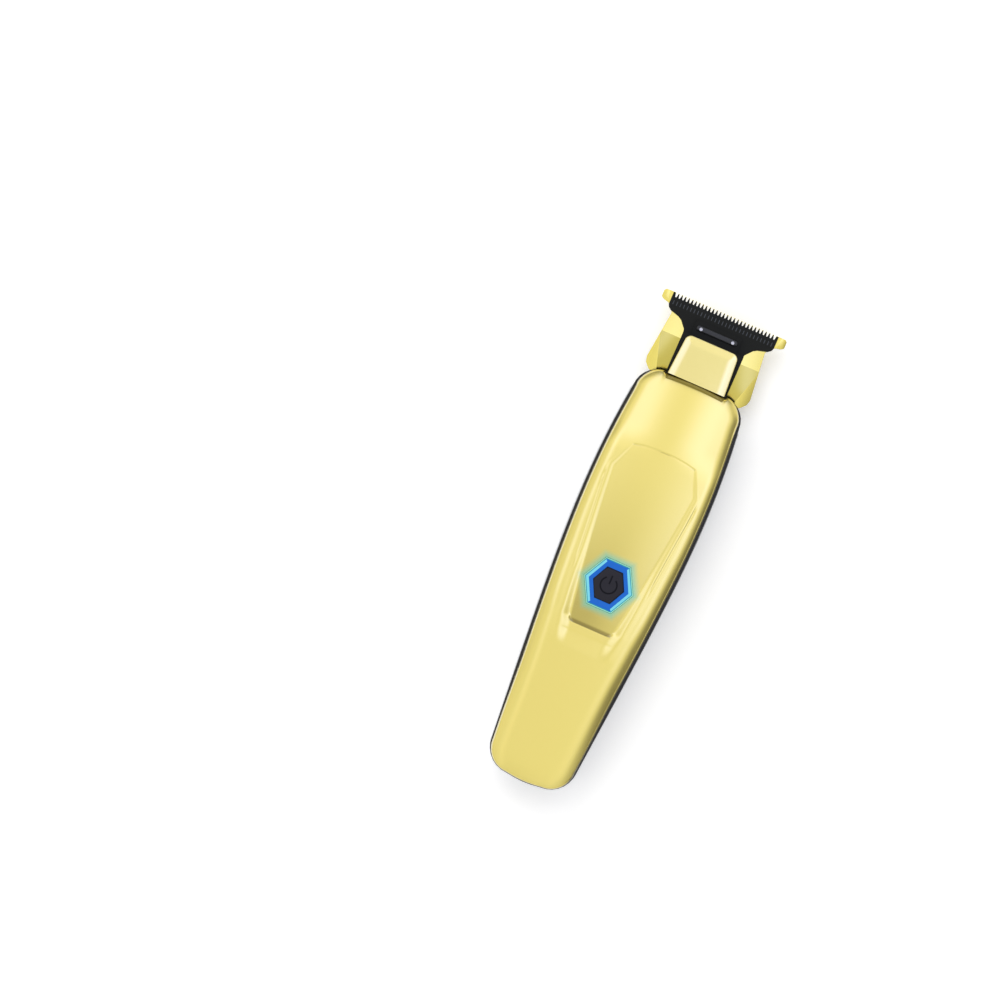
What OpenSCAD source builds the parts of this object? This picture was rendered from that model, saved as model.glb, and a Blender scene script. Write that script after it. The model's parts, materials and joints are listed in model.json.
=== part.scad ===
// Cordless hair clipper with a T-blade, lying on its back with the blade towards +Y.
// Millimetres. X runs across it, Y along it and Z up from the surface that it lies on.
// The origin is under the middle of the whole length.

/* [Body outline] */
// Length of the casing from the tail to its head end
body_l = 149.8; // [148:0.2:154]
// Width over the seam at the widest place
body_w = 43.7; // [43:0.1:48]
// Distance of the widest place from the head end
widest_from_head = 44.8; // [38:0.2:52]
// How far each side draws in at the head
head_pull = 3.3; // [2.4:0.1:3.6]
// How far each side draws in at the tail
tail_pull = 6.9; // [6:0.05:7.7]
// Length over which the side turns from its widest place into the straight taper
taper_run = 36; // [20:1:50]
// Radius of the two corners at the head
head_corner_r = 8.5; // [8:0.1:9.5]
// Radius of the two corners at the tail
tail_corner_r = 9.5; // [9:0.1:10.5]
// How far the middle of each end stands out beyond its corners
end_bulge = 0.6; // [0.2:0.1:1]

/* [Casing heights] */
// Height of the underside of the seam band
seam_z = 16.2; // [15.8:0.1:16.6]
// Height of the black seam band
band_h = 1.6; // [1.2:0.1:2]
// Highest level of the front face, without the thumb panel
face_top = 33; // [32.8:0.1:36]
// Distance of the highest level of the face from the head end
face_peak_from_head = 51.8; // [45:0.2:60]
// How far the face drops towards the head
face_drop_head = 4; // [3:0.1:4.4]
// How far the face drops towards the tail
face_drop_tail = 5; // [3:0.1:5.4]
// Length of the back's rise towards the head
back_rise_head_l = 27; // [20:1:30]
// How far the back rises at the head end
back_rise_head = 4.6; // [3:0.1:5]
// Length of the back's rise towards the tail
back_rise_tail_l = 18; // [10:1:18]
// How far the back rises at the tail end
back_rise_tail = 2.6; // [1:0.1:2.8]

/* [Casing shells] */
// Wall of the front casing
front_wall = 2; // [1.6:0.1:2.1]
// Wall of the rear casing
rear_wall = 1.5; // [1.2:0.1:1.6]
// Width of the rounded edge of the front casing
front_edge_w = 4.2; // [3:0.1:4.6]
// Width of the rounded edge of the rear casing
rear_edge_w = 5.5; // [4:0.1:5.6]
// How far the sides of the rear casing swell out below the seam
rear_swell = 0.65; // [0:0.05:0.8]
// How square the rear casing's edge is: 2 is a plain ellipse
rear_square = 3; // [2:0.1:3.2]
// Width of the seam band that shows outside the front casing
seam_show = 0.9; // [0.6:0.1:1]
// How far the rear casing stops short of the front casing at the head
rear_setback = 2.4; // [2.2:0.1:2.5]

/* [Thumb panel] */
// Distance of the panel's top edge from the head end
panel_top = 25.7; // [22:0.1:28]
// Distance of the panel's widest place from the head end
panel_shoulder = 37.1; // [34:0.1:42]
// Distance of the lip at the foot of the panel's floor from the head end
panel_lip = 91.2; // [90.5:0.1:93]
// Distance from the head end at which the panel has fallen back to the face
panel_foot = 100.3; // [98:0.1:106]
// Width of the panel's top edge
panel_top_w = 20.8; // [16:0.1:24]
// Width of the panel at its widest place
panel_wide_w = 33.3; // [31.5:0.1:34]
// Width of the panel at its foot
panel_foot_w = 21.2; // [20:0.1:23]
// Width of the panel's raised rim
rim_w = 1.75; // [1.2:0.05:2.2]
// Height of the rim above the face at the lip
rim_rise = 1.6; // [0.8:0.1:2]
// Depth of the floor under the face at the lip
floor_sink = 1; // [0.4:0.1:1.1]

/* [Power button] */
// Distance of the button's centre from the head end
button_from_head = 75.9; // [75:0.1:76.6]
// Width of the button across its two side corners
button_corner_w = 11.85; // [11:0.05:12.4]
// Length of the button across its flats
button_flat_w = 11.4; // [10.6:0.05:12]
// Width of the light ring across its two side corners
ring_corner_w = 18.2; // [17.6:0.1:18.6]
// Length of the light ring across its flats
ring_flat_w = 17.2; // [16.6:0.1:17.4]
// Travel of the button
button_travel = 0.6; // [0.3:0.05:0.6]

/* [Blade set] */
// How far the blade's teeth stand out beyond the casing's head end
head_reach = 26.2; // [26:0.1:28]
// Width of the moving blade
cutter_w = 39.5; // [39:0.1:40.5]
// Width of each end tip of the fixed blade beyond the moving blade
end_tip_w = 3.3; // [2.4:0.1:4]
// Number of teeth of the moving blade
teeth = 30; // [24:1:34]
// Depth of the gaps between the teeth of the moving blade
tooth_gap_l = 1.5; // [1:0.1:2]
// Share of the pitch that is gap
tooth_gap_share = 0.42; // [0.3:0.01:0.5]
// Thickness of the moving blade
cutter_t = 1.4; // [1:0.1:1.5]
// Height of the plane in which the two blades meet
blade_z = 11; // [10.8:0.1:11.4]
// Stroke of the moving blade to each side of the middle
stroke = 1.4; // [1:0.1:1.5]

/* [Drive] */
// Height of the motor's axis
axis_z = 16; // [15.8:0.1:16.2]
// Diameter of the motor
motor_d = 25.4; // [24:0.1:25.6]
// Length of the motor without its hubs
motor_l = 34.7; // [33:0.1:35]
// Diameter of the motor shaft
shaft_d = 3; // [2.8:0.1:3.2]
// Diameter of the crank pin
pin_d = 2; // [1.8:0.05:2]

/* [Power] */
// Diameter of the battery cell
cell_d = 18.4; // [17:0.1:18.5]
// Length of the battery cell
cell_l = 65; // [60:0.5:65]

/* [Hidden] */
$fn = 48;
tail_y = -(body_l + head_reach) / 2;
head_y = tail_y + body_l;
tips_y = head_y + head_reach;
widest_y = head_y - widest_from_head;
front_rim_z = seam_z + band_h;
seat = 0.05;
gap = 0.3;

// Points along each part of one side of the outline
arc_steps = 7;
side_steps = 20;
edge_steps = 6;
// The face rings shrink towards the middle line by these shares
face_rings = [0.82, 0.62, 0.35];
face_flat_share = 0.62;
middle_line_end = 14;
front_edge_share = 0.985;
rear_edge_share = 0.92;

button_y = head_y - button_from_head;
face_peak_y = head_y - face_peak_from_head;
panel_top_y = head_y - panel_top;
panel_shoulder_y = head_y - panel_shoulder;
panel_lip_y = head_y - panel_lip;
panel_foot_y = head_y - panel_foot;

// Neck
band_w = 2.6;
neck_w = 22.5;
neck_clear = 0.25;
cheek_t = 2.05;
channel_w = neck_w - 2 * cheek_t;
bulkhead_t = 2.2;
bulkhead_y = head_y - 12.4;
frame_rear_y = bulkhead_y;
frame_front_y = tips_y - 12;
frame_top_z = blade_z + 10;
frame_roof_t = 1.4;
frame_floor_z = blade_z + 2.3;
floor_rear_y = frame_front_y - 16.5;
floor_front_y = frame_front_y - 9.9;
head_screw_r = 1;
head_screw_head_r = 1.75;
head_screw_x = side_half(bulkhead_y) - band_w - head_screw_head_r - 1.67;
ear_x = head_screw_x + head_screw_head_r + 0.15;
ear_z0 = axis_z - 6;
ear_z1 = axis_z + 4;
ear_t = 1.6;
cover_w = 20.3;
cover_h = 4;
cover_front_y = tips_y - 11;

// Blades
blade_bend_y = tips_y - 13.4;
blade_rear_y = tips_y - 28.6;
blade_slope = 0.8;
blade_plate_t = 1.6;
blade_bar_t = 2.6;
cutter_z = blade_z + seat;
cutter_tip_y = tips_y - 0.15;
cutter_top_z = cutter_z + cutter_t;
tooth_pitch = cutter_w / teeth;
tongue_w = 14;
tongue_y = frame_front_y - 8;
gap_flare = 0.25;
gap_taper = 0.1;
slit_w = 0.44;
slit_l = 1.5;
slit_depth = 0.5;
slit_y = cutter_tip_y - 3.4;
bar_w = 15.1;
bar_d = 1.7;
bar_y = tips_y - 7.5;
guide_t = 0.95;
guide_bar_t = 0.9;
rivet_x = 5.95;
rivet_y = tips_y - 8.5;
rivet_r = 0.45;
rivet_head_r = 0.7;
fork_w = 10.4;
fork_rear_y = floor_front_y + 0.4;
fork_top_z = axis_z + 2.3;
fork_floor_z = axis_z - 2.6;
// The slot is this much wider than the pin, because the blade's travel is taken as even over the half turn
slot_play = 0.35;
blade_screw_x = 6.2;
blade_screw_y = blade_rear_y + 3.4;
blade_screw_r = 1.25;
blade_screw_seat = blade_top(blade_screw_y) - blade_plate_t + 0.25;
comb_gap = 0.52;
comb_gap_l = 2.6;
slot_l = 6;

// Spring that presses the fork down
spring_r = 0.4;
spring_coil_r = 1.3;
spring_y = floor_front_y - 2.6;
spring_z = fork_top_z + 0.25 + spring_r - spring_coil_r;
spring_arm_x = 4;
spring_coil_x = 6.6;
spring_turns = 3;

// Drive
crank_r = stroke;
cam_rear_y = bulkhead_y + 0.8;
cam_l = 5.8;
cam_r = 3.4;
weight_r = 6.2;
weight_l = 3;
shaft_r = shaft_d / 2;
shaft_in_cam = 3;
pin_r = pin_d / 2;
pin_l = 17.2;
pin_rear_y = cam_rear_y + cam_l - 2.6;

// Motor, from its front face backwards
motor_r = motor_d / 2;
motor_front_y = bulkhead_y - bulkhead_t;
motor_rear_y = motor_front_y - motor_l;
motor_plate_t = 2;
can_wall = 0.8;
can_r = motor_r - can_wall;
hub_r = 5.2;
hub_out = 2;
hub_in = 1.8;
race_r = 4;
race_w = 4;
ball_r = 0.6;
ball_ring_r = 2.75;
balls = 7;
bearing_play = 0.05;
inner_race_r = ball_ring_r - ball_r - bearing_play;
outer_race_r = ball_ring_r + ball_r + bearing_play;
front_race_y = motor_front_y - motor_plate_t - hub_in + 0.2;
rear_race_y = motor_rear_y - 0.2;
stator_l = 16;
stator_y = (motor_front_y + motor_rear_y) / 2 - stator_l / 2;
stator_yoke = 2;
stator_teeth = 6;
stator_tooth_w = 2.6;
air_gap = 0.6;
magnet_r = 5.6;
magnet_l = 15;
core_r = 3.6;
coil_over = 1.8;
coil_t = 1.35;
sensor_board_t = 1;
sensor_board_y = stator_y - coil_over - 0.3 - sensor_board_t;
motor_screw_at = 9;
motor_screw_r = 1.1;
cushion_l = 3.2;
rear_wall_t = 1.6;
rear_wall_y = motor_rear_y - cushion_l - rear_wall_t;

// Chassis
skirt_w = 1.8;
skirt_drop = 3.2;
skirt_rear_y = tail_y + 15.5;

// Button stack, from the shell's inner pad downwards
pad_drop = 0.9;
pad_z = face_line(button_y) - front_wall - pad_drop;
pad_top_z = pad_z + 1.35;
pad_w = 25.2;
pad_l = 27.2;
gasket_t = 0.4;
flange_w = 2.2;
flange_t = 1.1;
ring_z = pad_z - gasket_t - flange_t;
ring_proud = 0.25;
floor_at_button = face_line(button_y) - floor_sink * floor_share(button_y);
ring_top_z = floor_at_button + ring_proud;
button_top_z = ring_top_z + 0.35;
button_flange = 1.3;
button_flange_t = 1.05;
button_z = ring_z - 0.25 - button_flange_t;
button_clear = 0.2;
carrier_t = 1.3;
carrier_w = 24.8;
carrier_l = 26.4;
post_x = 10.4;
post_y = 11.4;
post_r = 1.7;
leg_h = 2.8;
board_t = 1.2;
board_top_z = ring_z - carrier_t - leg_h;
board_z = board_top_z - board_t;
board_w = 22;
board_rear_y = button_y - 28;
board_front_y = button_y + 18;
switch_w = 6;
switch_h = 2.2;
plunger_r = 1.7;
led_ring_r = 8.2;

// Battery
cell_r = cell_d / 2;
cell_z = 12.4;
cell_rear_y = tail_y + 16;
cell_front_y = cell_rear_y + cell_l;
tab_t = 0.25;
tray_clear = 0.15;
tray_t = 1.2;
tray_end_t = 1.2;
tray_end_gap = 0.6;
tray_top_z = seam_z - skirt_drop;
tray_flange_t = 1.2;
lead_r = 0.65;
lead_end = 0.06;
lead_hole_r = lead_r + 0.03;

// Tail
insert_w = 16;
insert_z0 = 7.6;
insert_z1 = 15.2;
insert_y0 = tail_y + 1.8;
insert_y1 = tail_y + 5.6;
insert_flange = 0.6;
insert_clear = 0.05;
socket_w = 8.94;
socket_h = 3.2;
socket_wall = 0.3;
socket_l = 7.3;
charge_board_t = 1.1;
charge_board_w = 14.8;
socket_z = insert_z0 + 0.95;
socket_y = insert_y0 + 0.2;
contact_x = 5.6;
contact_z = 13.4;
contact_r = 1.1;

// Casing screws: x, y and the height of the head's seat
screw_spots = [
    [13.9, head_y - 7.2, 6.4],
    [-13.9, head_y - 7.2, 6.4],
    [10.2, tail_y + 11, 4.4],
    [-10.2, tail_y + 11, 4.4]
];
boss_r = 2.4;
boss_top_z = 26.2;
screw_r = 1;
screw_head_r = 1.8;
screw_head_h = 1.5;
screw_top_z = 24;
split_z = seam_z + band_h / 2;

// ---- The casing's outline and levels ----

// Half width of the casing at y, before its corners
function side_half(y) =
    y > widest_y
    ? body_w / 2 - head_pull * pow((y - widest_y) / widest_from_head, 2)
    : body_w / 2 - tail_pull * (sqrt(pow(widest_y - y, 2) + pow(taper_run, 2)) - taper_run)
        / (sqrt(pow(widest_y - tail_y, 2) + pow(taper_run, 2)) - taper_run);

// One side of the outline, drawn in by d, from the middle of the tail to the middle of the head
function right_side(d, y_top) =
    let (rt = tail_corner_r - d)
    let (rh = head_corner_r - d)
    let (yt = tail_y + d + end_bulge + rt)
    let (yh = y_top - d - end_bulge - rh)
    let (xt = side_half(yt) - d - rt)
    let (xh = side_half(yh) - d - rh)
    concat(
        [[0, tail_y + d], [xt / 2, tail_y + d + end_bulge * 0.3]],
        [for (i = [0 : arc_steps]) let (a = -90 + 90 * i / arc_steps) [xt + rt * cos(a), yt + rt * sin(a)]],
        [for (i = [1 : side_steps - 1]) let (y = yt + (yh - yt) * i / side_steps) [side_half(y) - d, y]],
        [for (i = [0 : arc_steps]) let (a = 90 * i / arc_steps) [xh + rh * cos(a), yh + rh * sin(a)]],
        [[xh / 2, y_top - d - end_bulge * 0.3], [0, y_top - d]]
    );

// The whole outline, anticlockwise, starting in the middle of the tail
function outline(d, y_top) =
    let (side = right_side(d, y_top))
    let (m = len(side))
    concat(side, [for (i = [m - 2 : -1 : 1]) [-side[i].x, side[i].y]]);

// Height of the front face and of the back along the middle
function face_line(y) =
    y > face_peak_y
    ? face_top - face_drop_head * pow((y - face_peak_y) / face_peak_from_head, 2)
    : face_top - face_drop_tail * pow((face_peak_y - y) / (face_peak_y - tail_y), 2);

function back_line(y) =
    y > head_y - back_rise_head_l
    ? back_rise_head * pow((y - head_y + back_rise_head_l) / back_rise_head_l, 2)
    : y < tail_y + back_rise_tail_l
    ? back_rise_tail * pow((tail_y + back_rise_tail_l - y) / back_rise_tail_l, 2)
    : 0;

// Share of the way from the panel's top edge to its lip
function floor_share(y) = (panel_top_y - y) / (panel_top_y - panel_lip_y);

// ---- Shapes that repeat ----

// Rings of points over the outline: the rounded edge first, and then the face
function dome_rings(inset, y_top, edge_w, edge_share, wall, level, square, swell) =
    let (last = outline(inset + edge_w, y_top))
    concat(
        [for (k = [0 : edge_steps])
            let (a = 90 * pow(k / edge_steps, square / 2))
            let (rise = pow(sin(a), 2 / square))
            let (spread = 1 + pow(sin(180 * rise), 2) * swell / (body_w / 2))
            [for (p = outline(inset + edge_w * (1 - pow(cos(a), 2 / square)), y_top))
                [p.x * spread, p.y, (level(p.y) - wall) * edge_share * rise]]],
        [for (t = face_rings)
            let (s = max(0, (t - face_flat_share) / (1 - face_flat_share)))
            [for (p = last)
                let (yc = min(max(p.y, tail_y + middle_line_end), y_top - middle_line_end))
                let (y = yc + t * (p.y - yc))
                [t * p.x, y, (level(y) - wall) * (1 - (1 - edge_share) * s * s)]]]
    );

// A thin shell over the outline, with its rim on z = 0 and its top at level(y)
module dome(inset, y_top, wall, edge_w, edge_share, level, square = 2, swell = 0) {
    outer = dome_rings(inset, y_top, edge_w, edge_share, 0, level, square, swell);
    inner = dome_rings(inset + wall, y_top, edge_w, edge_share, wall, level, square, swell);
    n = len(outer[0]);
    k = len(outer);
    m = n / 2;
    q = n * k;
    sides = [for (i = [0 : k - 2], j = [0 : n - 1])
        [i * n + j, i * n + (j + 1) % n, (i + 1) * n + (j + 1) % n, (i + 1) * n + j]];
    cap = [for (j = [0 : m - 1]) [j, j + 1, (n - j - 1) % n, (n - j) % n] + (k - 1) * n * [1, 1, 1, 1]];
    rim = [for (j = [0 : n - 1]) [j, (j + 1) % n, q + (j + 1) % n, q + j]];
    faces = concat(
        [for (f = sides) each [[f[0], f[3], f[2]], [f[0], f[2], f[1]]]],
        [for (f = sides) each [[q + f[0], q + f[2], q + f[3]], [q + f[0], q + f[1], q + f[2]]]],
        [for (f = cap) each [[f[0], f[3], f[2]], [f[0], f[2], f[1]]]],
        [for (f = cap) each [[q + f[0], q + f[2], q + f[3]], [q + f[0], q + f[1], q + f[2]]]],
        [for (f = rim) each [[f[0], f[1], f[2]], [f[0], f[2], f[3]]]]
    );
    polyhedron(
        points = concat([for (r = outer) each r], [for (r = inner) each r]),
        faces = [for (f = faces) if (f[0] != f[1] && f[1] != f[2] && f[0] != f[2]) f],
        convexity = 6
    );
}

// The solid under the outer face of such a shell
module dome_body(inset, y_top, edge_w, edge_share, level, square = 2, swell = 0) {
    rings = dome_rings(inset, y_top, edge_w, edge_share, 0, level, square, swell);
    n = len(rings[0]);
    k = len(rings);
    m = n / 2;
    polyhedron(
        points = [for (r = rings) each r],
        faces = concat(
            [[for (j = [0 : n - 1]) j]],
            [for (i = [0 : k - 2], j = [0 : n - 1])
                [i * n + j, (i + 1) * n + j, (i + 1) * n + (j + 1) % n]],
            [for (i = [0 : k - 2], j = [0 : n - 1])
                [i * n + j, (i + 1) * n + (j + 1) % n, i * n + (j + 1) % n]],
            [for (j = [1 : m - 1]) (k - 1) * n * [1, 1, 1] + [j, n - j, j + 1]],
            [for (j = [1 : m - 2]) (k - 1) * n * [1, 1, 1] + [j + 1, n - j, n - j - 1]],
            [(k - 1) * n * [1, 1, 1] + [0, n - 1, 1]]
        ),
        convexity = 6
    );
}

// A solid through a row of closed sections with as many points each
module loft(sections) {
    n = len(sections[0]);
    k = len(sections);
    polyhedron(
        points = [for (s = sections) each s],
        faces = concat(
            [[for (j = [0 : n - 1]) j]],
            [[for (j = [n - 1 : -1 : 0]) (k - 1) * n + j]],
            [for (i = [0 : k - 2], j = [0 : n - 1]) [i * n + j, (i + 1) * n + j, i * n + (j + 1) % n]],
            [for (i = [0 : k - 2], j = [0 : n - 1])
                [(i + 1) * n + j, (i + 1) * n + (j + 1) % n, i * n + (j + 1) % n]]
        ),
        convexity = 4
    );
}

// A round wire along a list of points
module wire(path, r, sides = 8) {
    k = len(path);
    loft([for (i = [0 : k - 1])
        let (d = path[min(i + 1, k - 1)] - path[max(i - 1, 0)])
        let (t = d / norm(d))
        let (ref = abs(t.x) > 0.8 ? [0, 0, 1] : [1, 0, 0])
        let (u = cross(t, ref) / norm(cross(t, ref)))
        let (v = cross(t, u))
        [for (j = [0 : sides - 1])
            let (a = -360 * j / sides)
            path[i] + r * (cos(a) * u + sin(a) * v)]]);
}

// A smooth way through four control points
function curve(a, b, c, d, steps) =
    [for (i = [0 : steps])
        let (t = i / steps)
        pow(1 - t, 3) * a + 3 * t * pow(1 - t, 2) * b + 3 * t * t * (1 - t) * c + pow(t, 3) * d];

module y_rod(x, y, z, r, l) {
    translate([x, y, z]) rotate([-90, 0, 0]) cylinder(r = r, h = l);
}

module y_tube(y, z, r, bore, l) {
    difference() {
        y_rod(0, y, z, r, l);
        y_rod(0, y - 1, z, bore, l + 2);
    }
}

module box(x0, x1, y0, y1, z0, z1) {
    translate([x0, y0, z0]) cube([x1 - x0, y1 - y0, z1 - z0]);
}

// A whole outline from its half at +X, whose first and last points lie on the middle line
function mirrored(half) =
    concat(half, [for (i = [len(half) - 2 : -1 : 1]) [-half[i].x, half[i].y]]);

module both_sides() {
    children();
    mirror([1, 0, 0]) children();
}

// A hexagon with a corner at each side, let out by grow
module hexagon(corner_w, flat_w, grow = 0) {
    c = corner_w / 2 + grow * 1.15;
    f = flat_w / 2 + grow;
    polygon([[c, 0], [c / 2, f], [-c / 2, f], [-c, 0], [-c / 2, -f], [c / 2, -f]]);
}

module hex_block(corner_w, flat_w, grow, z0, z1) {
    translate([0, button_y, z0]) linear_extrude(z1 - z0) hexagon(corner_w, flat_w, grow);
}

// A screw that points up, with its head's seat on z = 0
module screw(r, head_r, head_h, l) {
    difference() {
        union() {
            translate([0, 0, -head_h]) cylinder(r = head_r, h = head_h);
            cylinder(r = r, h = l);
        }
        for (a = [0, 90])
            rotate(a) box(-head_r * 0.65, head_r * 0.65, -0.2, 0.2, -head_h - 1, -head_h / 2);
    }
}

// ---- Blade set ----

// Top of the fixed blade: level where the blades meet, and sloping away behind the bend
function blade_top(y) =
    y > blade_bend_y
    ? blade_z
    : blade_z - blade_slope * (blade_bend_y - y) / (blade_bend_y - blade_rear_y);

module fixed_blade() {
    half = [
        [0, tips_y],
        [cutter_w / 2 + end_tip_w - 0.7, tips_y],
        [cutter_w / 2 + end_tip_w, tips_y - 0.7],
        [cutter_w / 2 + end_tip_w, tips_y - 3],
        [cutter_w / 2 + end_tip_w - 0.8, tips_y - 3.6],
        [cutter_w / 2 - 0.6, tips_y - 4.4],
        [17.6, tips_y - 7],
        [19.5, tips_y - 22.6],
        [18.6, tips_y - 25.6],
        [16.4, tips_y - 28],
        [15.2, blade_rear_y],
        [0, blade_rear_y]
    ];
    color("gold") difference() {
        intersection() {
            linear_extrude(blade_z + 1) polygon(mirrored(half));
            translate([-30, 0, 0]) rotate([90, 0, 90]) linear_extrude(60) polygon([
                [tips_y, blade_z],
                [blade_bend_y, blade_z],
                [blade_rear_y, blade_top(blade_rear_y)],
                [blade_rear_y, blade_top(blade_rear_y) - blade_plate_t],
                [blade_bend_y, blade_z - blade_plate_t],
                [tips_y - 9.5, blade_z - blade_bar_t],
                [tips_y - 4.5, blade_z - blade_bar_t],
                [tips_y, blade_z - 0.5]
            ]);
        }
        for (i = [0 : teeth]) translate([(i - teeth / 2) * tooth_pitch, 0, 0])
            box(-comb_gap / 2, comb_gap / 2, tips_y - comb_gap_l, tips_y + 1, 0, 20);
        both_sides() {
            translate([blade_screw_x, blade_screw_y, 0]) cylinder(r = blade_screw_r + 0.1, h = 20);
            translate([blade_screw_x, blade_screw_y, 0]) cylinder(r = 2.5, h = blade_screw_seat);
        }
    }
}

module cutter_blade() {
    w = cutter_w / 2;
    half = [
        [0, cutter_tip_y],
        [w, cutter_tip_y],
        [w, tips_y - 4.6],
        [w - 0.45, tips_y - 5.6],
        [w - 1.5, tips_y - 6.4],
        [14.8, tips_y - 7.4],
        [13.5, tips_y - 8.2],
        [12.4, tips_y - 9.5],
        [neck_w / 2 + 0.2, tips_y - 10.6],
        [neck_w / 2, frame_front_y + gap],
        [tongue_w / 2, frame_front_y + gap],
        [tongue_w / 2, tongue_y],
        [0, tongue_y]
    ];
    slot = tooth_pitch * tooth_gap_share;
    color("#232525") difference() {
        translate([0, 0, cutter_z]) linear_extrude(cutter_t) difference() {
            polygon(mirrored(half));
            for (i = [1 : teeth - 1]) translate([(i - teeth / 2) * tooth_pitch, cutter_tip_y]) polygon([
                [-slot / 2 - gap_flare, 0.01],
                [-slot / 2 + gap_taper, -tooth_gap_l],
                [slot / 2 - gap_taper, -tooth_gap_l],
                [slot / 2 + gap_flare, 0.01]
            ]);
            both_sides() translate([rivet_x, rivet_y]) circle(r = rivet_r);
        }
        // A row of short grooves behind the teeth
        for (i = [1 : teeth - 1]) translate([(i - teeth / 2) * tooth_pitch, slit_y, cutter_top_z])
            box(-slit_w / 2, slit_w / 2, -slit_l / 2, slit_l / 2, -slit_depth, 1);
    }
}

module cutter_guide() {
    color("#1b1c1d") difference() {
        union() {
            box(
                -bar_w / 2 - 1, bar_w / 2 + 1, frame_front_y + gap, bar_y + bar_d,
                cutter_top_z, cutter_top_z + guide_t
            );
            translate([0, bar_y, cutter_top_z]) linear_extrude(guide_t + guide_bar_t) union() {
                square([bar_w - bar_d, bar_d], center = true);
                both_sides() translate([(bar_w - bar_d) / 2, 0]) circle(d = bar_d);
            }
            box(-fork_w / 2, fork_w / 2, fork_rear_y, frame_front_y + gap, cutter_top_z, fork_top_z);
        }
        box(
            -pin_r - slot_play, pin_r + slot_play, fork_rear_y - 1, fork_rear_y + slot_l,
            fork_floor_z, fork_top_z + 1
        );
        both_sides() translate([rivet_x, rivet_y, 0]) {
            cylinder(r = rivet_r, h = 40);
            translate([0, 0, cutter_top_z + guide_t]) cylinder(r = rivet_head_r + 0.15, h = 4);
        }
    }
}

module cutter_rivets() {
    color("silver") both_sides() translate([rivet_x, rivet_y, cutter_z]) {
        cylinder(r = rivet_r, h = cutter_t + guide_t + 0.2);
        translate([0, 0, cutter_t + guide_t]) difference() {
            cylinder(r = rivet_head_r, h = 0.45);
            translate([0, 0, 0.3]) cylinder(r = 0.25, h = 1);
        }
    }
}

// Double torsion spring: a bar across the back, a coil round each peg and an arm over each prong of the fork
module tension_spring() {
    steps = 10 * spring_turns + 3;
    side = concat(
        [[spring_arm_x, frame_front_y - 0.6, spring_z + spring_coil_r]],
        [for (i = [0 : steps])
            let (a = 36 * i)
            let (x = spring_arm_x + (spring_coil_x - spring_arm_x) * i / steps)
            [x, spring_y - spring_coil_r * sin(a), spring_z + spring_coil_r * cos(a)]],
        [[spring_coil_x, floor_rear_y + 1.6, frame_floor_z + 0.7],
         [spring_coil_x - 0.8, floor_rear_y + 0.9, frame_floor_z + spring_r + 0.1]]
    );
    far_side = [for (i = [len(side) - 1 : -1 : 0]) [-side[i].x, side[i].y, side[i].z]];
    color("lightgray") wire(concat(side, far_side), spring_r);
}

module blade_screws() {
    color("silver") both_sides() translate([blade_screw_x, blade_screw_y, blade_screw_seat])
        screw(blade_screw_r, 2.3, 1.5, frame_floor_z - blade_screw_seat - 0.4);
}

module head_frame() {
    w = neck_w / 2;
    color("#151515") difference() {
        union() {
            translate([-w, 0, 0]) rotate([90, 0, 90]) linear_extrude(neck_w) polygon([
                [frame_rear_y, blade_z - 0.6],
                [blade_rear_y - 0.2, blade_z - 0.6],
                [blade_rear_y, blade_top(blade_rear_y)],
                [blade_bend_y, blade_z],
                [frame_front_y, blade_z],
                [frame_front_y, frame_top_z],
                [frame_rear_y, frame_top_z]
            ]);
            both_sides() box(w - 1, ear_x, frame_rear_y, frame_rear_y + ear_t, ear_z0, ear_z1);
        }
        // Channel for the drive, with the floor left under its middle part
        difference() {
            box(
                -channel_w / 2, channel_w / 2, frame_rear_y - 1, frame_front_y + 1,
                0, frame_top_z - frame_roof_t
            );
            box(-w, w, floor_rear_y, floor_front_y, 0, frame_floor_z);
        }
        // The roof starts in front of the cam
        box(-channel_w / 2, channel_w / 2, frame_rear_y - 1, cam_rear_y + cam_l + 0.8, 0, frame_top_z + 1);
        both_sides() {
            y_rod(head_screw_x, frame_rear_y - 1, axis_z, head_screw_r, ear_t + 2);
            y_rod(head_screw_x, frame_rear_y + ear_t, axis_z, head_screw_head_r + 0.1, 4);
            translate([blade_screw_x, blade_screw_y, 0]) cylinder(r = blade_screw_r, h = frame_floor_z - 0.3);
        }
    }
    // Pegs that hold the spring's coils
    color("#151515") both_sides() translate([spring_arm_x - 0.6, spring_y, spring_z]) rotate([0, 90, 0])
        cylinder(r = spring_coil_r - spring_r - 0.1, h = channel_w / 2 - spring_arm_x + 0.8);
}

module head_screws() {
    color("silver") both_sides() translate([head_screw_x, frame_rear_y + ear_t, axis_z]) rotate([90, 0, 0])
        screw(head_screw_r, head_screw_head_r, 1.1, ear_t + bulkhead_t - 0.3);
}

module neck_cover() {
    r = 2.2;
    drop = 2;
    x = cover_w / 2 - r;
    y0 = head_y + 0.1;
    color("gold") union() {
        hull() {
            for (sx = [-1, 1]) {
                translate([sx * x, cover_front_y - r, frame_top_z])
                    cylinder(r = r, h = cover_h - drop, $fn = 32);
                translate([sx * (x - 0.6), cover_front_y - r - 0.6, frame_top_z])
                    cylinder(r = r / 2, h = cover_h, $fn = 32);
            }
            box(-cover_w / 2, cover_w / 2, y0, y0 + 1, frame_top_z, frame_top_z + cover_h - drop);
            box(-x - 0.6, x + 0.6, y0, y0 + 1, frame_top_z, frame_top_z + cover_h);
        }
        // Tongue that slips under the edge of the front casing
        box(-8, 8, y0 - 3.6, y0 + 0.5, frame_top_z, frame_top_z + 0.28);
    }
}

// ---- Casing ----

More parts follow.
